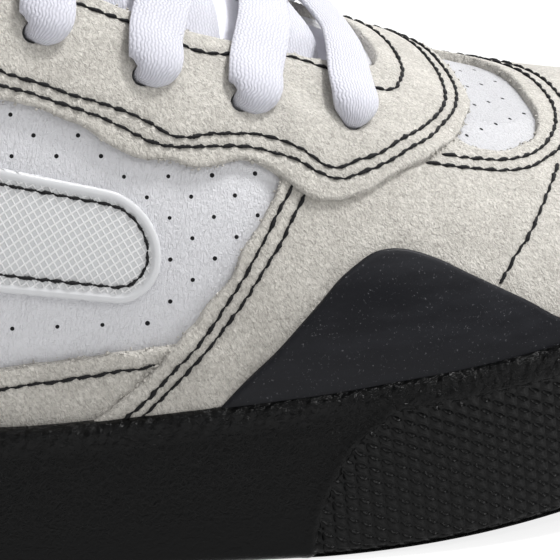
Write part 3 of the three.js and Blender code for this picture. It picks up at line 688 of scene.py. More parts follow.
def make_materials():
    kinds = {}
    kinds["suede"] = suede("suede", (0.68, 0.653, 0.603), (0.35, 0.331, 0.3))

    s = Shader("white_leather", (0.585, 0.585, 0.61), 0.42, Specular_IOR_Level=0.45, Coat_Weight=0.08)
    pebble = s.cells(0.75)
    crease = s.noise(1.0, 2.0, 0.5, vector=s.leaning(-14, (0.42, 0.6, 0.95)), twist=1.2)
    s.bump(pebble, 0.08, 0.9)
    s.bump(crease, 0.36, 1.0)
    # The toe vent ahead of here is in a greyer leather
    at_vent = s.ramp(s.split(s.where())[0], 50.0, 58.0)
    s.set("Base Color", s.mix(at_vent, (0.6, 0.6, 0.625), (0.43, 0.43, 0.45)))
    s.bump(s.noise(0.2, 2.0, 0.6), 0.03, 0.6)
    s.set("Roughness", s.ramp(crease, 0.3, 0.7, 0.36, 0.5))
    kinds["leather"] = s.material

    s = Shader("lining", (0.62, 0.62, 0.62), 0.9, Sheen_Weight=0.2)
    knit = s.node("TexWave", {"Vector": s.where(), "Scale": 1 / 1.4, "Distortion": 2.0, "Detail": 1.0,
                              "Detail Scale": 1.0}, output=1, bands_direction="DIAGONAL")
    s.bump(knit, 0.1, 0.7)
    s.bump(s.noise(0.5), 0.1, 0.5)
    kinds["lining"] = s.material

    s = Shader("tongue_textile", (0.72, 0.715, 0.78), 0.85, Sheen_Weight=0.25)
    mesh_net = s.cells(0.9, feature="F1")
    s.bump(mesh_net, 0.22, 0.8)
    s.bump(s.noise(0.3), 0.08, 0.6)
    kinds["tongue"] = s.material

    s = Shader("panel_synthetic", (0.74, 0.745, 0.76), 0.42, Specular_IOR_Level=0.5)
    heights = []
    for angle, pitch in ((58, 1.0), (-34, 1.15)):
        turned = s.where((1, 1, 1), True, math.radians(angle))
        wave = s.math("SINE", s.times(s.split(turned)[0], 2 * math.pi / pitch))
        heights.append(s.ramp(wave, 0.45, 0.95))
    ribs = s.math("MAXIMUM", heights[0], heights[1])
    s.set("Base Color", s.mix(ribs, (0.52, 0.525, 0.535), (0.73, 0.73, 0.735)))
    s.bump(ribs, 0.14, 0.9)
    kinds["panel"] = s.material
    s = Shader("panel_border", (0.56, 0.565, 0.58), 0.38, Specular_IOR_Level=0.5)
    s.bump(s.noise(0.5), 0.04, 0.5)
    kinds["border"] = s.material

    s = Shader("thread", (0.006, 0.006, 0.007), 0.65, Specular_IOR_Level=0.2)
    s.bump(s.noise(0.2, 2.0), 0.1, 1.0)
    kinds["thread"] = s.material
    # Near black for the insides of the eyelets and the pinholes: painted shade of the holes.
    kinds["hole"] = Shader("hole", (0.012, 0.012, 0.013), 0.9, Specular_IOR_Level=0.1).material

    s = Shader("lace_textile", (0.7, 0.7, 0.76), 0.8, Sheen_Weight=0.3)
    across, along, _ = s.split(s.where(flat=True))
    loop = s.math("SINE", s.times(along, 2 * math.pi / 1.7))
    bent = s.plus(across, s.times(loop, 0.1))
    bent = s.plus(bent, s.times(s.noise(2.0, 3.0), 0.9))
    rib = s.math("ABSOLUTE", s.math("SINE", s.times(bent, math.pi / 0.62)))
    knot = s.math("SINE", s.plus(s.times(along, 2 * math.pi / 0.85),
                                s.times(s.math("FLOOR", s.times(bent, 1 / 0.62)), 2.4)))
    weave = s.plus(s.times(rib, 0.7), s.times(knot, 0.14))
    s.bump(weave, 0.2, 0.8)
    s.bump(s.noise(0.25, 2.0), 0.08, 0.7)
    # The colour follows the weave's relief, darker in the grooves between the ribs: painted shade.
    s.set("Base Color", s.mix(s.ramp(weave, 0.0, 0.75), (0.455, 0.455, 0.512), (0.54, 0.54, 0.597)))
    kinds["lace"] = s.material

    s = Shader("patch_rubber", (0.017, 0.0175, 0.021), 0.42, Specular_IOR_Level=0.18)
    painted_sheen_and_roughness = s.noise(6.0, 4.0, 0.6, vector=s.where((0.25, 0.25, 1.0)))
    dust = s.noise(0.5, 3.0, 0.8)
    specks = s.ramp(dust, 0.63, 0.7)
    # The base tone follows a broad noise in a bluish tint: painted sheen. The same noise also sets the
    # roughness.
    base = s.mix(s.ramp(painted_sheen_and_roughness, 0.45, 0.75), (0.006, 0.0064, 0.0085), (0.0125, 0.0133, 0.017))
    s.set("Base Color", s.mix(s.times(specks, 0.7), base, (0.14, 0.14, 0.15)))
    s.set("Roughness", s.ramp(painted_sheen_and_roughness, 0.35, 0.7, 0.34, 0.55))
    s.bump(s.noise(0.8, 3.0, 0.6), 0.05, 0.5)
    kinds["patch"] = s.material

    kinds["sole"] = sole_material()
    s = Shader("tread", (0.012, 0.0125, 0.013), 0.6)
    s.bump(s.noise(0.6, 2.0), 0.08, 0.6)
    kinds["tread"] = s.material
    s = Shader("insole_cloth", (0.42, 0.41, 0.4), 0.92, Sheen_Weight=0.2)
    s.bump(s.noise(0.6, 3.0), 0.15, 0.7)
    kinds["insole"] = s.material
    return kinds


def sole_material():
    """Cup wall: nubby rim, grained wall, smooth foot, and raised scales inside the toe bumper.
    The flat layout holds the distance round the wall and the depth below the rim."""
    s = Shader("sole_rubber", (0.0028, 0.0029, 0.003), 0.25, Specular_IOR_Level=0.1)
    x, y, _ = s.split(s.where(flat=True))
    mask = s.node("Attribute", {}, output=2, attribute_name="bumper")
    rim_band = s.ramp(y, 1.6, 4.6, 1.0, 0.0)
    grain_band = s.times(s.ramp(y, 12.0, 24.0, 1.0, 0.35), s.math("SUBTRACT", 1.0, mask))
    # Lattice of scales: p and q count cells along the two skewed directions
    ax, ay, bx, by = 2.34, 1.21, 0.14, 2.2
    det = ax * by - ay * bx
    p = s.math("SUBTRACT", s.times(x, by / det), s.times(y, bx / det))
    q = s.math("SUBTRACT", s.times(y, ax / det), s.times(x, ay / det))
    fp = s.math("SUBTRACT", s.math("FRACT", p), 0.5)
    fq = s.math("SUBTRACT", s.math("FRACT", q), 0.5)
    # Each cell is a small rounded block whose height falls ever faster towards its four sides
    cubes = [s.math("POWER", s.times(s.math("ABSOLUTE", f), 2.0), 3.0) for f in (fp, fq)]
    to_side = s.math("POWER", s.plus(*cubes), 1 / 3)
    block = s.math("MAXIMUM", s.math("SUBTRACT", 1.0, s.math("POWER", to_side, 1.7)), 0.0)
    s.bump(s.times(block, mask), 0.72, 1.0)
    drawn = s.where((1, 1, 0.6))
    nubs = s.ramp(s.cells(1.2, vector=drawn, feature="SMOOTH_F1"), 0.1, 0.65, 1.0, 0.0)
    s.bump(s.times(nubs, rim_band), 0.8, 1.0)
    wrinkle = s.noise(1.1, 3.0, 0.6, twist=1.2)
    s.bump(s.times(wrinkle, grain_band), 0.5, 1.0)
    s.bump(s.noise(0.35, 2.0), 0.05, 0.6)
    s.set("Roughness", s.ramp(y, 0.0, 20.0, 0.14, 0.28))
    shine = s.math("MAXIMUM", s.times(mask, 0.03), s.times(rim_band, 0.02))
    s.set("Specular IOR Level", s.plus(shine, 0.1))
    return s.material


KIND = make_materials()


# Heights of the layers over the upper's face
def eyestay_top(u, v):
    over_vamp = smooth((u - .588) / .022) * smooth((np.abs(v) - .3) / .08)
    return EYESTAY_TOP + 0.9 * over_vamp


def vamp_top(u, v):
    over_rand = smooth((.57 - u) / .03) * smooth((np.abs(v) - .8) / .05)
    return SUEDE_TOP + 0.9 * over_rand


def wall_depth(u, v):
    low = smooth((.86 - np.abs(v)) / .16)
    high = smooth((np.abs(v) - .4) / .1)
    return UPPER_WALL + COLLAR_PADDING * low * high * smooth((.4 - u) / .08)


def quarter_columns():
    fine = np.linspace(.24, .38, 110)
    return np.unique(np.r_[np.linspace(0, .24, 90), fine, np.linspace(.38, .655, 150),
                           np.linspace(.655, THROAT_END, 36)])


def wall_end(u, side):
    """v of the collar and throat edge."""
    throat = np.where(u >= .2, THROAT(u), 0)
    return np.maximum(collar_cut(u, side), throat)


OUTER_ROWS = 64
INNER_ROWS = 30
COLLAR_ROLL = 3.4


def make_upper():
    """Leather shell with its rolled collar and throat edge, its lining and the holes for the eyelets."""
    points, faces, picks, uvs = [], [], [], []
    columns = quarter_columns()
    for side in (-1, 1):
        cut = wall_end(columns, side)
        edge = np.stack([columns, side * cut], -1)
        rows = []
        for t in np.linspace(0, 1, OUTER_ROWS):
            v = 1 - (1 - cut) * t
            rows.append((np.stack([columns, side * v], -1), np.zeros(len(columns))))
        depth = wall_depth(columns, cut)
        bulge = np.minimum(depth / 2, COLLAR_ROLL)
        for turn in np.linspace(0, math.pi, 11)[1:-1]:
            moved = sideways(edge, -side * bulge * math.sin(turn))
            moved[0] = (0, moved[0][1])
            rows.append((moved, -depth / 2 * (1 - math.cos(turn))))
        for t in np.linspace(0, 1, INNER_ROWS):
            v = cut + (1 - cut) * t
            rows.append((np.stack([columns, side * v], -1), -wall_depth(columns, v)))
        start = len(points)
        for uv, d in rows:
            points += over_face(uv, d).tolist()
            uvs += (uv * FLAT).tolist()
        made = grid_faces(len(rows), len(columns), start)
        faces += made if side < 0 else [f[::-1] for f in made]
        picks += [int(i > OUTER_ROWS) for i in range(len(rows) - 1) for _ in range(len(columns) - 1)]
    toe = np.r_[np.linspace(THROAT_END, .84, 44), .84 + .1585 * np.sin(np.linspace(0, math.pi / 2, 40))[1:]]
    across = np.linspace(-1, 1, 121)
    for d, pick, flip in ((0, 0, False), (-UPPER_WALL, 1, True)):
        start = len(points)
        for u in toe:
            uv = np.stack([np.full(len(across), u), across], -1)
            points += over_face(uv, d).tolist()
            uvs += (uv * FLAT).tolist()
        made = grid_faces(len(toe), len(across), start)
        faces += [f[::-1] for f in made] if not flip else made
        picks += [pick] * len(made)
    points = np.array(points)
    # The eyelets go through the wall
    axes = [(face(u, side * v), normal(u, side * v)) for u, v in EYELETS for side in (-1, 1)]
    middle = np.array([points[list(f)].mean(0) for f in faces])
    keep = np.ones(len(faces), bool)
    for centre, n in axes:
        away = middle - centre
        along = away @ n
        across_axis = np.linalg.norm(away - along[:, None] * n, axis=1)
        keep &= ~((across_axis < EYELET_RADIUS + 0.1) & (np.abs(along) < 4))
    faces = [f for f, k in zip(faces, keep) if k]
    picks = [p for p, k in zip(picks, keep) if k]
    mesh_object("upper_shell", points, faces, [KIND["leather"], KIND["lining"]], ["upper"],
                uv=uvs, picks=picks)


def make_eyelet_walls():
    """Punched walls of the eyelets, from the eyestay's top to the lining, and a ring under the lining, all
    near black: painted shade in the holes.
    """
    points, faces = [], []
    count = 20
    for u, v in EYELETS:
        for side in (-1, 1):
            top = float(eyestay_top(np.array(u), np.array(v)))
            for radius, d in ((EYELET_RADIUS + 1.2, -UPPER_WALL - 0.05), (EYELET_RADIUS, -UPPER_WALL - 0.05),
                              (EYELET_RADIUS - 0.06, 0.2), (EYELET_RADIUS - 0.06, top - 0.45)):
                loop = ring((u, side * v), radius, count)
                points += over_face(loop, d).tolist()
            faces += grid_faces(4, count, len(points) - 4 * count, wrap=True)
    mesh_object("eyelet_walls", points, faces, [KIND["hole"]])


def eyestay_loops():
    # Its rear ends run along the collar's front edge
    u = np.linspace(.25, .36, 500)
    rear = {}
    for side in (-1, 1):
        cut = collar_cut(u, side)
        on = (cut < .495) & (cut > .27)
        rear[side] = np.stack([u[on], side * cut[on]], -1)
    parts = [
        even(rear[-1], 0.8),
        line([(.352, .27), *THROAT_ROWS[2:]], -1),
        line([(.352, .27), *THROAT_ROWS[2:]], 1)[::-1],
        even(rear[1], 0.8)[::-1],
        line([tuple(rear[1][0]), *EYESTAY_ROWS[1:]], 1),
        line([tuple(rear[-1][0] * (1, -1)), *EYESTAY_ROWS[1:]], -1)[::-1],
    ]
    loop = clean_loop(np.vstack(parts))
    holes = [ring((u, side * v), EYELET_RADIUS, 22) for u, v in EYELETS for side in (-1, 1)]
    return loop, holes


def clean_loop(loop, gap=0.3):
    """Closed chart loop without points that lie on top of each other."""
    kept = [loop[0]]
    for p in loop[1:]:
        if np.hypot(*((p - kept[-1]) * FLAT)) > gap:
            kept.append(p)
    if np.hypot(*((kept[0] - kept[-1]) * FLAT)) < gap:
        kept.pop()
    return np.array(kept)


ROWS = {}


def make_overlays():
    loop, holes = eyestay_loops()
    rows = [round_front(EYESTAY_ROW_IN), round_front(EYESTAY_ROW_OUT), round_front(THROAT_ROW)]
    ROWS["eyestay"] = rows
    sheet("eyestay_suede", [fuzzy(loop, 0.26), *holes], eyestay_top, KIND["suede"], ["eyestay"],
          radius=0.5, spacing=1.2, rows=rows)

    ROWS["edges"] = [(np.vstack([loop, loop[:1]]), eyestay_top)]
    seam = [line(TOE_SEAM, side) for side in (-1, 1)]
    rear_rows = [line(row, side) for row in (VAMP_ROW_1, VAMP_ROW_2) for side in (-1, 1)]
    vent_rows = [round_front(VENT_ROW_IN), round_front(VENT_ROW_OUT)]
    ROWS["vamp"] = rear_rows + vent_rows + seam
    tuck = [(.594, .515), (.62, .52), (.66, .44), (.69, .36), (.706, .3)]
    toe = [(.455, .985), (.6, .985), (.75, .985), (.88, .985), (.95, .985), (.978, .96)]
    side_line = [line(VAMP_REAR, 1)[::-1], line(tuck, 1), line(VENT_FRONT, 1)]
    for side in (-1, 1):
        ROWS["edges"] += [(line(VAMP_REAR, side), vamp_top), (line(VENT_FRONT, side), vamp_top)]
    medial = np.vstack(side_line)
    lateral = (medial * (1, -1))[::-1]
    tip = [(.978, -.96), (.984, -.5), (.986, 0), (.984, .5), (.978, .96)]
    front = np.vstack([line(toe, -1), line(tip, 1), line(toe, 1)[::-1]])
    loop = clean_loop(np.vstack([medial, lateral, front]))
    sheet("vamp_suede", [fuzzy(loop, 0.22)], vamp_top, KIND["suede"], ["vamp_overlay"], radius=0.5,
          spacing=1.3, rows=rear_rows + vent_rows + seam)

    patch = line(PATCH_ROWS, -1)
    foot = line([(.845, .95), (.7, .955), (.535, .95)], -1)
    loop = clean_loop(np.vstack([patch, foot]))
    if np.sum(loop[:, 0] * np.roll(loop[:, 1], -1) - np.roll(loop[:, 0], -1) * loop[:, 1]) < 0:
        loop = loop[::-1]
    sheet("rubber_toe_patch", [loop], level(PATCH_TOP), KIND["patch"], ["rubber_patch"],
          radius=0.55, spacing=1.3, low=1.2)


def panel_loop(side, inset, step=0.8):
    half = PANEL_HEIGHT / 2 - inset
    turn = np.linspace(0, 2 * math.pi, 160, endpoint=False)
    x = np.sign(np.cos(turn)) * PANEL_LENGTH / 2 + half * np.cos(turn)
    y = half * np.sin(turn)
    loop = np.stack([PANEL_CENTRE[0] + x / SOLE_LENGTH, side * (PANEL_CENTRE[1] - y / PANEL_GIRTH)], -1)
    loop = np.vstack([loop, loop[:1]])
    return even(loop, step)[:-1]


def make_panels():
    ROWS["panel"] = []
    for side, name in ((-1, "lateral"), (1, "medial")):
        row = panel_loop(side, PANEL_ROW_INSET)
        row = np.vstack([row, row[:1]])
        ROWS["panel"].append(row)
        piece = sheet(f"panel_{name}", [panel_loop(side, 0)], level(PANEL_TOP), KIND["panel"],
                      [f"side_panel_{name}"], radius=0.5, spacing=0.8, rows=[row],
                      groove=0.12, edge_rows=(0.2, 0.5, 0.9, 1.15, 1.45),
                      dome=lambda gap: -PANEL_SINK * smooth((gap - 1.1) / 0.35))
        piece.data.materials.append(KIND["border"])
        edge = face(*panel_loop(side, 0, 0.2).T)
        middle = [np.array(p.center) / MM for p in piece.data.polygons]
        gap = nearest(edge, np.array(middle))
        piece.data.polygons.foreach_set("material_index", (gap < PANEL_BORDER).astype(int))


RAND_END = .535
RAND_ROW_END = .515
RAND_ROW_INSET = 2.15
RAND_EDGE_TOP = 1.55
RAND_SECTION = [(0, -0.3), (0, 1.1), (.06, 1.3), (.2, 1.48), (.45, SUEDE_TOP), (.9, SUEDE_TOP), (1.4, 1.55),
                (1.9, 1.4), (2.4, 1.4), (2.9, 1.55)]


def make_rand():
    """Suede strip from one vamp edge round the heel to the other."""
    u = np.unique(np.r_[np.linspace(0, .12, 50), np.linspace(.12, RAND_END, 150)])
    along = np.r_[u[::-1], u[1:]]
    side = np.r_[np.full(len(u), -1.0), np.full(len(u) - 1, 1.0)]
    cuts = {s: height_cut(RAND, RIM_HEIGHT, along, s) for s in (-1, 1)}
    knots = np.arange(0, len(u) * 2 + 4, 3)
    wobble = np.interp(np.arange(len(u) * 2), knots, RNG.normal(0, .0011, len(u) * 2 // 3 + 2))
    top = np.where(side < 0, cuts[-1], cuts[1]) + wobble[:len(along)]
    rows = [(top + away / GIRTH, d) for away, d in RAND_SECTION]
    start = top + 3.5 / GIRTH
    rows += [(start + (.985 - start) * t, SUEDE_TOP) for t in np.linspace(0, 1, 16)]
    points, uvs = [], []
    for v, d in rows:
        uv = np.stack([along, side * v], -1)
        points += over_face(uv, d).tolist()
        uvs += (uv * FLAT).tolist()
    faces = grid_faces(len(rows), len(along))
    mesh_object("rand_suede", points, faces, [KIND["suede"]], ["rand_strip"], uv=uvs, flip=True)
    ROWS["rand"] = []
    edge = np.stack([along, side * top], -1)
    row = np.stack([along, side * (top + RAND_ROW_INSET / GIRTH)], -1)
    for half in (side < 0, side > 0):
        ROWS["edges"].append((edge[half], level(RAND_EDGE_TOP)))
        ROWS["rand"].append(row[half & (along < RAND_ROW_END)])


def side_walls(rows, count, near_flip):
    """Quads from both long sides of a grid to those of its twin, whose points come straight after."""
    faces = []
    other = rows * count
    for i in range(rows - 1):
        for j in (0, count - 1):
            a, b = i * count + j, (i + 1) * count + j
            quad = (a, b, b + other, a + other)
            faces.append(quad[::-1] if (j == 0) == near_flip else quad)
    return faces


def make_tongue():
    """Padded tongue with a bound edge."""
    reach = Curve([(.262, .2), (.266, .265), (.276, .318), (.3, .345), (.36, .35), (.5, .34), (.6, .28),
                   (.68, .22), (.712, .19)])
    rounded = .262 + .02 * (1 - np.cos(np.linspace(0, math.pi / 2, 14)))
    along = np.r_[rounded[:-1], np.linspace(.282, .712, 130)]
    across = np.sin(np.linspace(-math.pi / 2, math.pi / 2, 61))
    points = []
    middle = -(UPPER_WALL + 0.3) - 2.5
    for sign in (1, -1):
        for u in along:
            v = across * reach(u)
            rim = np.maximum(0, 1 - np.abs(across) ** 7) ** 0.5
            end = min(1.0, max(0.0, (u - .262) / .012)) ** 0.5
            cushion = 1 + 0.28 * np.cos(across * math.pi / 2) ** 0.5 * smooth((.33 - u) / .03)
            throat = THROAT(u)
            under = smooth((np.abs(v) - throat + .03) / .03) * float(smooth(np.array((u - .345) / .02)))
            d = middle + sign * 2.45 * rim * end * cushion
            if sign > 0:
                d = d - 1.9 * under + (1 - under) * rim * smooth((u - .36) / .03) * (
                    0.6 + 1.9 * np.cos(np.clip(v / max(float(throat), .05), -1, 1) * math.pi / 2))
            points += place(np.full(len(v), u), v, d).tolist()
    rows = len(along)
    faces = [f[::-1] for f in grid_faces(rows, len(across))]
    faces += grid_faces(rows, len(across), rows * len(across))
    # Close the sides, the front and the rear
    count = len(across)
    other = rows * count
    faces += side_walls(rows, count, False)
    for j in range(count - 1):
        for i, flip in ((0, True), (rows - 1, False)):
            a, b = i * count + j, i * count + j + 1
            quad = (a, b, b + other, a + other)
            faces.append(quad[::-1] if flip else quad)
    piece = mesh_object("tongue_padded", points, faces, [KIND["tongue"]], ["tongue"],
                        flip=True)


INSOLE_TOP = 4.0
INSOLE_FOOT = 0.2
INSOLE_CUP = 1.6
INSOLE_GAP = 1.4


def make_insole():
    t = np.linspace(0.001, .999, 150)
    across = np.linspace(-1, 1, 31)
    points = []
    for height in (INSOLE_TOP, INSOLE_FOOT):
        for u in t:
            left = place(u, -1.0, -(UPPER_WALL + INSOLE_GAP))
            right = place(u, 1.0, -(UPPER_WALL + INSOLE_GAP))
            for w in across:
                p = left + (right - left) * (w + 1) / 2
                cup = INSOLE_CUP * abs(w) ** 4 if height == INSOLE_TOP else 0
                points.append((p[0], p[1], float(footbed(p[0] / SOLE_LENGTH + 0.5)) + height + cup))
    count = len(across)
    faces = grid_faces(len(t), count)
    faces += [f[::-1] for f in grid_faces(len(t), count, len(t) * count)]
    faces += side_walls(len(t), count, True)
    mesh_object("insole_cloth_top", points, faces, [KIND["insole"]], ["insole"], flip=True)


# Cup sole
BUMPER_REAR = Curve([
    (-.2, .594), (.2, .597), (.5, .607), (.75, .622), (.9, .64), (1.4, .66),
])
BUMPER_STEP = 0.8
BUMPER_BAND = 4.2


def sole_outline(t, side, inset):
    """Plan point of the sole's wall and its share of the length."""
    edge = inset / SOLE_LENGTH
    s = edge + t * (1 - 2 * edge)
    width = half_width(np.maximum(s, HEEL_CAP), side, inset)
    turn = np.arccos(np.clip(np.maximum(0, (HEEL_CAP - s) / (HEEL_CAP - edge)) ** (CAP_POWER / 2), 0, 1))
    width = np.where(s < HEEL_CAP, half_width(HEEL_CAP, side, inset) * np.sin(turn) ** (2 / CAP_POWER), width)
    return (s - 0.5) * SOLE_LENGTH, centre_line(s) + side * width, s


def wall_inset(share):
    low = 1.4 * np.maximum(0, 1 - share / .06) ** 2
    return RIM_LEAN * share ** 1.5 + low


def wall_stations():
    """Shares of the length at the wall's stations, closer together at heel and toe."""
    heel = HEEL_CAP * (1 - np.cos(np.linspace(0, math.pi / 2, 60)))
    toe = .84 + .16 * np.sin(np.linspace(0, math.pi / 2, 110))
    return np.r_[heel, np.linspace(HEEL_CAP, .84, 330)[1:-1], toe]


WALL_TOP = .96
RIM_ROLL = 1.5
RIM_CROWN = 0.25
BUMPER_LIP = 0.25
UNDERSIDE_INSET = 1.4
TREAD_INSET = 10.0
TREAD_HEEL = (.055, .31)
TREAD_FORE = (.505, .905)
GROOVE_PITCH = 13.0
GROOVE_HALF = 1.5
GROOVE_DEPTH = 2.0
HEEL_GROOVE = -131.12
FORE_GROOVE = 2.98
RIB_PITCH = 2.6
RIB_DEPTH = 0.45
WAIST_HOLLOW = 2.0


def make_sole():
    """Cup wall with its toe bumper, rounded rim and grooved underside."""
    t = wall_stations()
    ts = np.r_[t, t[-2:0:-1]]
    sides = np.r_[np.full(len(t), -1), np.full(len(t) - 2, 1)]
    count = len(ts)
    points, uvs, masks = [], [], []

    def outline(inset):
        x, y, s = np.empty(count), np.empty(count), np.empty(count)
        for side in (-1, 1):
            on = sides == side
            x[on], y[on], s[on] = sole_outline(ts[on], side, inset)
        return x, y, s

    def add_row(x, y, z, down, mask):
        points.extend(np.stack([x, y, z], -1).tolist())
        uvs.extend(np.stack([around, down + np.zeros(count)], -1).tolist())
        masks.extend((mask + np.zeros(count)).tolist())

    base_x, base_y, _ = outline(0.0)
    around = np.r_[0, np.cumsum(np.hypot(np.diff(base_x), np.diff(base_y)))]
    for share in np.r_[np.linspace(0, .06, 5), np.linspace(.06, WALL_TOP, 44)[1:]]:
        x, y, s = outline(float(wall_inset(share)))
        low, high = underside(s), rim(s)
        z = low + (high - low) * share
        rear = BUMPER_REAR(z / RIM_HEIGHT) * SOLE_LENGTH - SOLE_LENGTH / 2
        ahead = smooth((x - rear) / 0.7)
        below = high - BUMPER_BAND - z
        mask = ahead * smooth(below / 0.7)
        lip = np.exp(-((x - rear + 0.6) / 0.8) ** 2) * smooth(below + 1)
        band = np.exp(-((below + 0.7) / 0.8) ** 2) * ahead
        nx, ny = -np.gradient(y), np.gradient(x)
        push = (BUMPER_STEP * mask - BUMPER_LIP * np.maximum(lip, band)) / np.maximum(np.hypot(nx, ny), 1e-9)
        add_row(x + nx * push, y + ny * push, z, high - z, mask)
    # Rounded rim, then the top of the wall down to the upper
    top_inset = float(wall_inset(WALL_TOP))
    for turn in np.linspace(0, math.pi / 2, 9)[1:]:
        x, y, s = outline(top_inset + RIM_ROLL * (1 - math.cos(turn)))
        low, high = underside(s), rim(s)
        start = low + (high - low) * WALL_TOP
        z = start + (high - start + RIM_CROWN) * math.sin(turn)
        add_row(x, y, z, -RIM_ROLL * (1 - math.cos(turn)), 0.0)
    for away in np.linspace(0.5, 7.5, 10):
        x, y, s = outline(top_inset + RIM_ROLL + away)
        add_row(x, y, rim(s) + RIM_CROWN - 0.07 * away ** 1.6, -RIM_ROLL - away, 0.0)
    faces = grid_faces(len(points) // count, count, wrap=True)
    picks = [0] * len(faces)
    # Underside with its grooves
    start = len(points)
    t = np.unique(np.r_[.13 * (1 - np.cos(np.linspace(0, math.pi / 2, 40))), np.linspace(.13, .84, 420),
                        .84 + .16 * np.sin(np.linspace(0, math.pi / 2, 80))])
    x, left, s = sole_outline(t, -1, UNDERSIDE_INSET)
    right = sole_outline(t, 1, UNDERSIDE_INSET)[1]
    tread_left, tread_right = (sole_outline(t, side, TREAD_INSET)[1] for side in (-1, 1))
    hollow = WAIST_HOLLOW * smooth((s - .33) / .06) * smooth((.49 - s) / .06)
    under_heel = (s > TREAD_HEEL[0]) & (s < TREAD_HEEL[1])
    treaded = under_heel | ((s > TREAD_FORE[0]) & (s < TREAD_FORE[1]))
    off = (x - np.where(under_heel, HEEL_GROOVE, FORE_GROOVE)) % GROOVE_PITCH
    off = np.minimum(off, GROOVE_PITCH - off)
    relief = GROOVE_DEPTH * smooth((GROOVE_HALF - off) / 0.35 + .5)
    from_rib = np.abs(off % RIB_PITCH - RIB_PITCH / 2)
    relief += RIB_DEPTH * smooth((0.35 - from_rib) / 0.2 + .5) * (off > 2.4)
    across = np.linspace(-1, 1, 49)
    for w in across:
        y = left + (right - left) * (w + 1) / 2
        inner = smooth(y - tread_left) * smooth(tread_right - y)
        z = underside(s) + hollow * (1 - abs(w) ** 3) + relief * treaded * inner
        points += np.stack([x, y, z], -1).tolist()
        uvs += np.stack([x, y], -1).tolist()
        masks += [0.0] * len(t)
    made = grid_faces(len(across), len(t), start)
    faces += [f[::-1] for f in made]
    picks += [1] * len(made)
    piece = mesh_object("cup_sole", points, faces, [KIND["sole"], KIND["tread"]], ["cupsole"],
                        uv=uvs, picks=picks)
    layer = piece.data.attributes.new("bumper", "FLOAT", "POINT")
    layer.data.foreach_set("value", masks)


# Laces
LACE_WIDTH = 9.6


def spline(points, step=0.6):
    """Smooth line through rows of numbers whose first three are a position."""
    p = np.array(points, float)
    gaps = np.maximum(np.linalg.norm(np.diff(p[:, :3], axis=0), axis=1), 1e-6) ** 0.75
    at = np.r_[0, np.cumsum(gaps)]
    t = np.linspace(0, at[-1], 700)
    fine = np.stack([Curve(list(zip(at, p[:, c])))(t) for c in range(p.shape[1])], -1)
    length = run_length(fine[:, :3])
    even_t = np.linspace(0, length[-1], int(length[-1] / step) + 1)
    return np.stack([np.interp(even_t, length, fine[:, c]) for c in range(p.shape[1])], -1), even_t


def lace(name, rows, nodes, seed):
    """Flat woven lace through rows of (u, v, d, width, thickness, fold)."""
    rng = np.random.default_rng(seed)
    rows = np.array(rows, float)
    centre = place(rows[:, 0], rows[:, 1], rows[:, 2])
    n = normal(rows[:, 0], rows[:, 1])
    span = unit(centre[len(rows) // 2 + 2] - centre[len(rows) // 2 - 2])
    across = unit(np.cross(span, n))
    data = np.hstack([centre, across, rows[:, 3:]])
    fine, at = spline(data)
    p, across = fine[:, :3], unit(fine[:, 3:6])
    tangent = unit(np.gradient(p, axis=0))
    across = unit(across - (across * tangent).sum(1, keepdims=True) * tangent)
    up = np.cross(across, tangent)
    count = 30
    turn = turns(count)
    c, s = np.cos(turn), np.sin(turn)
    flat_x = np.sign(c) * np.abs(c) ** 0.55
    flat_z = np.sign(s) * np.abs(s) ** 0.75
    points, uvs = [], []
    tilt = 0.12 * np.sin(at / 11 + rng.uniform(0, 6))
    for i in range(len(p)):
        width, thick, fold = fine[i, 6:9]
        x = flat_x * width / 2
        z = flat_z * thick / 2 * (1 - 0.25 * np.abs(flat_x) ** 4)
        z = z - fold * (flat_x ** 2 - 0.4) + tilt[i] * flat_x
        points += (p[i] + x[:, None] * across[i] + z[:, None] * up[i]).tolist()
        edge = np.where(s >= 0, flat_x, 2 - flat_x) * LACE_WIDTH / 2
        uvs += np.stack([edge, np.full(count, at[i])], -1).tolist()
    faces = grid_faces(len(p), count, wrap=True)
    last = (len(p) - 1) * count
    faces += [tuple(range(count))[::-1], tuple(last + k for k in range(count))]
    mesh_object(name, points, faces, [KIND["lace"]], nodes, uv=uvs, flip=True)


def dive(u, v, toward, broad=1.0, beside=1.0):
    """Rows that take a lace from over the eyestay down into the eyelet at u, v, coming from toward.
    It folds on the toe side of its hole, whose heel side stays open."""
    top = float(eyestay_top(np.array(u), np.array(v)))
    du, dv = toward[0] - u, toward[1] - v
    size = math.hypot(du * SOLE_LENGTH, dv * GIRTH)
    du, dv = du / size, dv / size

    def step(away, d, width, thickness, fold, aside):
        along = u + du * away + beside * aside / SOLE_LENGTH
        return (along, v + dv * away, d, width * broad, thickness, fold)

    return [step(10.5, top + 1.5, 9.9, 1.9, 0.15, 0.3), step(6.6, top + 2.0, 10.0, 2.1, 0.3, 0.7),
            step(3.9, top + 2.1, 9.7, 2.4, 0.5, 1.1), step(1.9, top + 1.7, 8.8, 2.8, 0.9, 1.3),
            step(0.3, top + 0.6, 6.8, 2.8, 1.2, 1.0), step(0.1, top - 0.8, 3.6, 2.2, 0.6, 0.3),
            step(0.0, -2.8, 2.7, 1.9, 0.3, 0.0)]


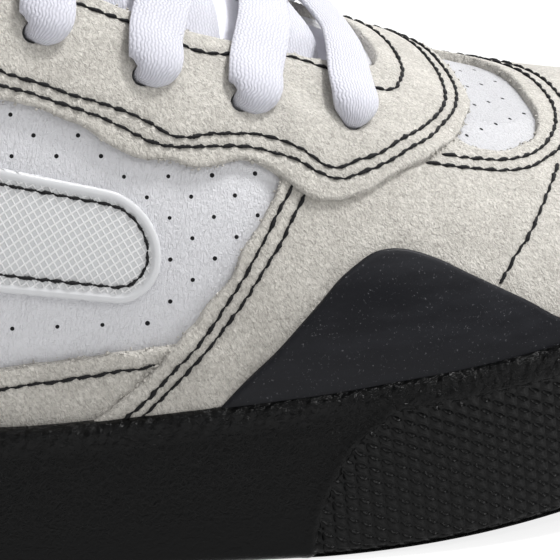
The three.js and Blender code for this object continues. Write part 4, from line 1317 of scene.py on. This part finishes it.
def make_laces():
    u, v = EYELETS[0]
    near = dive(u, -v, (u + .009, -.1), 0.88, 0.1)
    far = dive(u, v, (u + .009, .1), 0.88, 0.1)
    over = [(u + .009, -.13, 3.9, 7.8, 1.9, 0.1), (u + .013, -.05, 3.4, 7.0, 1.9, 0.05),
            (u + .013, .05, 3.4, 7.0, 1.9, 0.05), (u + .009, .13, 3.9, 7.8, 1.9, 0.1)]
    lace("lace_bottom_bar", near[::-1] + over + far, ["lace_bar"], 1)
    for k in range(1, len(EYELETS)):
        for side in (-1, 1):
            au, av = EYELETS[k - 1][0], -side * EYELETS[k - 1][1]
            ku, kv = EYELETS[k][0], side * EYELETS[k][1]
            eu = au + .2 * (ku - au)
            edge = float(THROAT(eu))
            lift = 3.0 if side < 0 else 0.7
            out = -side
            power = 1.45 if side < 0 else 3.2
            at = lambda t: eu + (ku - eu) * t ** power
            kedge = float(THROAT(at(.75)))
            rows = [(au, av, -1.5, 2.7, 1.9, 0.0),
                    (au + .3 * (eu - au), av + out * -.02, -3.2, 4.2, 1.8, 0.0),
                    (au + .7 * (eu - au), out * (edge + .08), -3.5, 8.2, 1.5, 0.0),
                    (eu, out * (edge + .02), -3.1, 9.6, 1.5, 0.0),
                    (at(.05), out * (edge - .05), -1.3, 9.8, 1.7, 0.0),
                    (at(.28), out * edge * .4, 0.3 + lift * .6, 9.9, 1.8, 0.05),
                    (at(.45), 0.0, 1.1 + lift * .8, 9.9, 1.8, 0.1),
                    (at(.62), side * kedge * .6, 2.4 + lift * .35, 9.9, 1.8, 0.1)]
            rows += dive(ku, kv, (at(.35), 0.0))
            nodes = [f"lace_cross_{k}"] if side < 0 else []
            lace(f"lace_run_{k}_{'lateral' if side < 0 else 'medial'}", rows, nodes, 10 * k + side)


# Stitches and pinholes
def stitches(name, lines, pitch=2.7, radius=0.27):
    """Rows of lockstitches: one yarn that swells over each stitch and thins where it goes down its hole.
    lines holds (chart line, height function)."""
    points, faces = [], []
    around = 8
    turn = turns(around)
    base = 0
    for uv, top in lines:
        fine = even(uv, 0.1)
        at = run_length(on_face(fine))
        count = max(int(at[-1] / pitch), 1)
        holes = np.arange(count + 1) * at[-1] / count
        holes[1:-1] += RNG.normal(0, 0.22, count - 1)
        t = np.arange(0, at[-1], 0.27)
        stitch = np.clip(np.searchsorted(holes, t, side="right") - 1, 0, count - 1)
        share = (t - holes[stitch]) / np.maximum(holes[stitch + 1] - holes[stitch], 0.5)
        arch = np.clip(np.sin(math.pi * np.clip(share, 0, 1)), 0, 1)
        u = np.interp(t, at, fine[:, 0])
        v = np.interp(t, at, fine[:, 1])
        plump = RNG.uniform(0.55, 0.98, count)[stitch]
        size = radius * (0.42 + plump * arch ** 0.8) * (1 + RNG.normal(0, 0.13, len(t)))
        d = top(u, v) - 0.3 + 0.36 * arch ** 0.6
        c = place(u, v, d)
        n = normal(u, v)
        tangent = unit(np.gradient(c, axis=0))
        left = unit(np.cross(n, tangent))
        slant = RNG.normal(0.16, 0.06, count)[stitch]
        c = c + left * (slant * (share * 2 - 1) * arch + RNG.normal(0, 0.035, len(t)))[:, None]
        up = np.cross(tangent, left)
        ringed = (c[:, None] + size[:, None, None] * (np.cos(turn)[None, :, None] * left[:, None]
                                                     + 0.85 * np.sin(turn)[None, :, None] * up[:, None]))
        points += ringed.reshape(-1, 3).tolist()
        faces += grid_faces(len(t), around, base, wrap=True)
        faces += [tuple(base + i for i in range(around))[::-1],
                  tuple(base + (len(t) - 1) * around + i for i in range(around))]
        base += len(t) * around
    mesh_object(name, points, faces, [KIND["thread"]])


COLLAR_ROW_INSET = 5.5
COLLAR_ROW_TOP = .42


def make_stitches():
    stitches("eyestay_stitches", [(row, eyestay_top) for row in ROWS["eyestay"]])
    stitches("vamp_stitches", [(row, vamp_top) for row in ROWS["vamp"]], pitch=2.8)
    stitches("rand_stitches", [(row, level(SUEDE_TOP)) for row in ROWS["rand"]])
    panel_lines = [(row, level(PANEL_TOP - .3)) for row in ROWS["panel"]]
    stitches("panel_stitches", panel_lines, pitch=2.5, radius=0.25)
    # One row on each side, an even distance below the collar's edge
    u = np.linspace(0.0004, .33, 400)
    halves = []
    for side in (-1, 1):
        cut = collar_cut(u, side)
        edge = face(u, side * cut)
        near = lambda v: np.linalg.norm(face(u, side * v) - edge, axis=1) < COLLAR_ROW_INSET
        low = halve(near, cut, np.full(len(u), .99), 24)
        halves.append(np.stack([u, side * low], -1)[low > COLLAR_ROW_TOP])
    stitches("collar_stitches", [(row, leather_top) for row in halves], pitch=2.7, radius=0.24)


def make_nap():
    """Loose clumps of fibre along the raw edges of the suede."""
    corners = np.array([(1, 0, 0), (-1, 0, 0), (0, 1, 0), (0, -1, 0), (0, 0, 1), (0, 0, -1)], float)
    sides = [(0, 2, 4), (2, 1, 4), (1, 3, 4), (3, 0, 4), (2, 0, 5), (1, 2, 5), (3, 1, 5), (0, 3, 5)]
    points, faces = [], []
    for loop, top in ROWS["edges"]:
        fine = even(loop, 0.42)
        fine = fine[RNG.random(len(fine)) < 0.75]
        u = fine[:, 0] + RNG.normal(0, 0.24, len(fine)) / SOLE_LENGTH
        v = fine[:, 1] + RNG.normal(0, 0.24, len(fine)) / GIRTH
        d = top(u, v) - RNG.uniform(0.15, 1.1, len(fine))
        centre = place(u, v, d)
        for c in centre:
            size = RNG.uniform(0.16, 0.4) * RNG.uniform(0.6, 1.4, (1, 3))
            shape = corners * size * RNG.uniform(0.6, 1.3, (6, 1)) + RNG.normal(0, 0.03, (6, 3))
            faces += [tuple(len(points) + i for i in side) for side in sides]
            points += (c + shape).tolist()
    mesh_object("suede_nap", points, faces, [KIND["suede"]])


HOLE_PITCH = 7.45
HOLE_RADIUS = 0.33


def make_pinholes():
    """Rows of pinholes in the quarters and in the toe vent."""
    eyestay = eyestay_loops()[0] * FLAT
    centres = []
    k, i = (a.ravel() for a in np.meshgrid(np.arange(-7, 12), np.arange(-12, 8)))
    # Rows of the quarters, every other one set back by half a pitch
    x = .4 - .22 * k + HOLE_PITCH / 2 * (k % 2) + HOLE_PITCH * i
    z = 66.3 - 3.2 * k - .032 * k * k
    z = z - x * .0028 * (z - 41)
    on = (x > -76) & (x < 40)
    u = u_at(x[on])
    for side in (-1, 1):
        vamp = np.vstack([line(VAMP_REAR, side), [(.7, side * .985), (.7, side * .5)]]) * FLAT
        panel = panel_loop(side, -1.6) * FLAT
        low = halve(lambda v: face(u, side * v)[:, 2] > z[on], np.zeros_like(u), np.ones_like(u), 26)
        fits = (low < height_cut(RAND, RIM_HEIGHT, u, side) - .02) & (low > wall_end(u, side) + .085)
        at = np.stack([u, side * low], -1)[fits]
        flat = at * FLAT
        free = ~(inside(flat, [vamp]) | inside(flat, [panel]) | inside(flat, [eyestay]))
        edges = [(q[0], q[1], 0.0) for q in np.vstack([vamp, eyestay])]
        free &= nearest(edges, [(q[0], q[1], 0.0) for q in flat]) > 0.8
        centres += at[free].tolist()
    i, j = (a.ravel() for a in np.meshgrid(np.arange(-12, 13), np.arange(-12, 13)))
    x, y = 75.3 + 3.8 * i - 2.2 * j, -8.4 + 3.8 * i + 5.9 * j
    on = (x > 58) & (x < 84)
    u = u_at(x[on])
    low = halve(lambda v: face(u, v)[:, 1] <= y[on], -np.ones_like(u), np.ones_like(u), 26)
    vent = np.vstack([line(VENT_FRONT, 1), line(VENT_FRONT, -1)[::-1]]) * FLAT
    at = np.stack([u, low], -1)
    flat = at * FLAT
    free = (inside(flat, [vent]) | (u < .72)) & ~inside(flat, [eyestay]) & (np.abs(low) < .3)
    edges = [(q[0], q[1], 0.0) for q in np.vstack([vent, eyestay])]
    free &= nearest(edges, [(q[0], q[1], 0.0) for q in flat]) > 1.3
    centres += at[free].tolist()
    points, faces, picks = [], [], []
    count = 12
    turn = turns(count)
    for u, v in centres:
        n = normal(u, v)
        a = unit(np.cross(n, (0.2, 0.3, 1)))
        b = np.cross(n, a)
        c = face(u, v)
        start = len(points)
        size = HOLE_RADIUS * (1 + RNG.normal(0, .06))
        # Each hole is a disc on the leather: an outer leather ring, then near-black rings and a near-black
        # centre, painted shade of the hole.
        for radius, d in ((size + .28, -0.01), (size + .05, 0.05), (size, 0.02), (size * .9, 0.015)):
            points += (c + n * d + radius * (np.cos(turn)[:, None] * a + np.sin(turn)[:, None] * b)).tolist()
        faces += grid_faces(4, count, start, wrap=True)
        picks += [0] * count + [1] * (2 * count)
        faces.append(tuple(start + 3 * count + i for i in range(count)))
        picks.append(1)
    mesh_object("pinholes", points, faces, [KIND["leather"], KIND["hole"]], picks=picks)


def make_stage():
    data = bpy.data.meshes.new("floor")
    size = 6.0
    corners = [(-size, -size, 0), (size, -size, 0), (size, size, 0), (-size, size, 0)]
    data.from_pydata(corners, [], [(0, 1, 2, 3)])
    floor = bpy.data.objects.new("floor", data)
    bpy.context.scene.collection.objects.link(floor)
    floor.location.z = -0.0005
    pale = Shader("floor_pale", (0.24, 0.24, 0.24), 0.9, Specular_IOR_Level=0.0, Emission_Strength=0.82)
    pale.set("Emission Color", (1, 1, 1, 1))
    data.materials.append(pale.material)


def area_light(name, place_at, aim, size, power):
    data = bpy.data.lights.new(name, "AREA")
    data.shape = "RECTANGLE"
    data.size, data.size_y = size
    data.energy = power
    lamp = bpy.data.objects.new(name, data)
    bpy.context.scene.collection.objects.link(lamp)
    lamp.location = place_at
    lamp.rotation_euler = (Vector(place_at) - Vector(aim)).to_track_quat("Z", "Y").to_euler()


def make_lights():
    world = bpy.data.worlds.new("studio")
    bpy.context.scene.world = world
    world.use_nodes = True
    tree = world.node_tree
    background = tree.nodes["Background"]
    space = tree.nodes.new("ShaderNodeTexCoord")
    split = tree.nodes.new("ShaderNodeSeparateXYZ")
    tree.links.new(space.outputs["Generated"], split.inputs[0])
    ramp = tree.nodes.new("ShaderNodeMapRange")
    for key, value in {"From Min": -0.1, "From Max": 0.8, "To Min": 0.2, "To Max": 0.7}.items():
        ramp.inputs[key].default_value = value
    tree.links.new(split.outputs[2], ramp.inputs["Value"])
    tree.links.new(ramp.outputs[0], background.inputs["Strength"])
    background.inputs["Color"].default_value = (1, 1, 1, 1)
    area_light("key", (0.62, 0.02, 1.15), (0.02, 0, 0.05), (0.26, 0.22), 14.8)
    area_light("rear", (0.6, 1.0, 0.7), (0.02, 0, 0.06), (0.9, 0.5), 8)
    area_light("front", (0.42, -0.95, 1.0), (0.06, -0.03, 0.03), (0.9, 0.08), 3.6)
    area_light("side", (1.2, -0.5, 0.55), (0.07, -0.03, 0.02), (0.15, 0.15), 2.2)
    bpy.context.scene.view_settings.view_transform = "Standard"


make_camera()
make_upper()
make_eyelet_walls()
make_overlays()
make_panels()
make_rand()
make_tongue()
make_insole()
make_sole()
make_laces()
make_stitches()
make_nap()
make_pinholes()
make_stage()
make_lights()
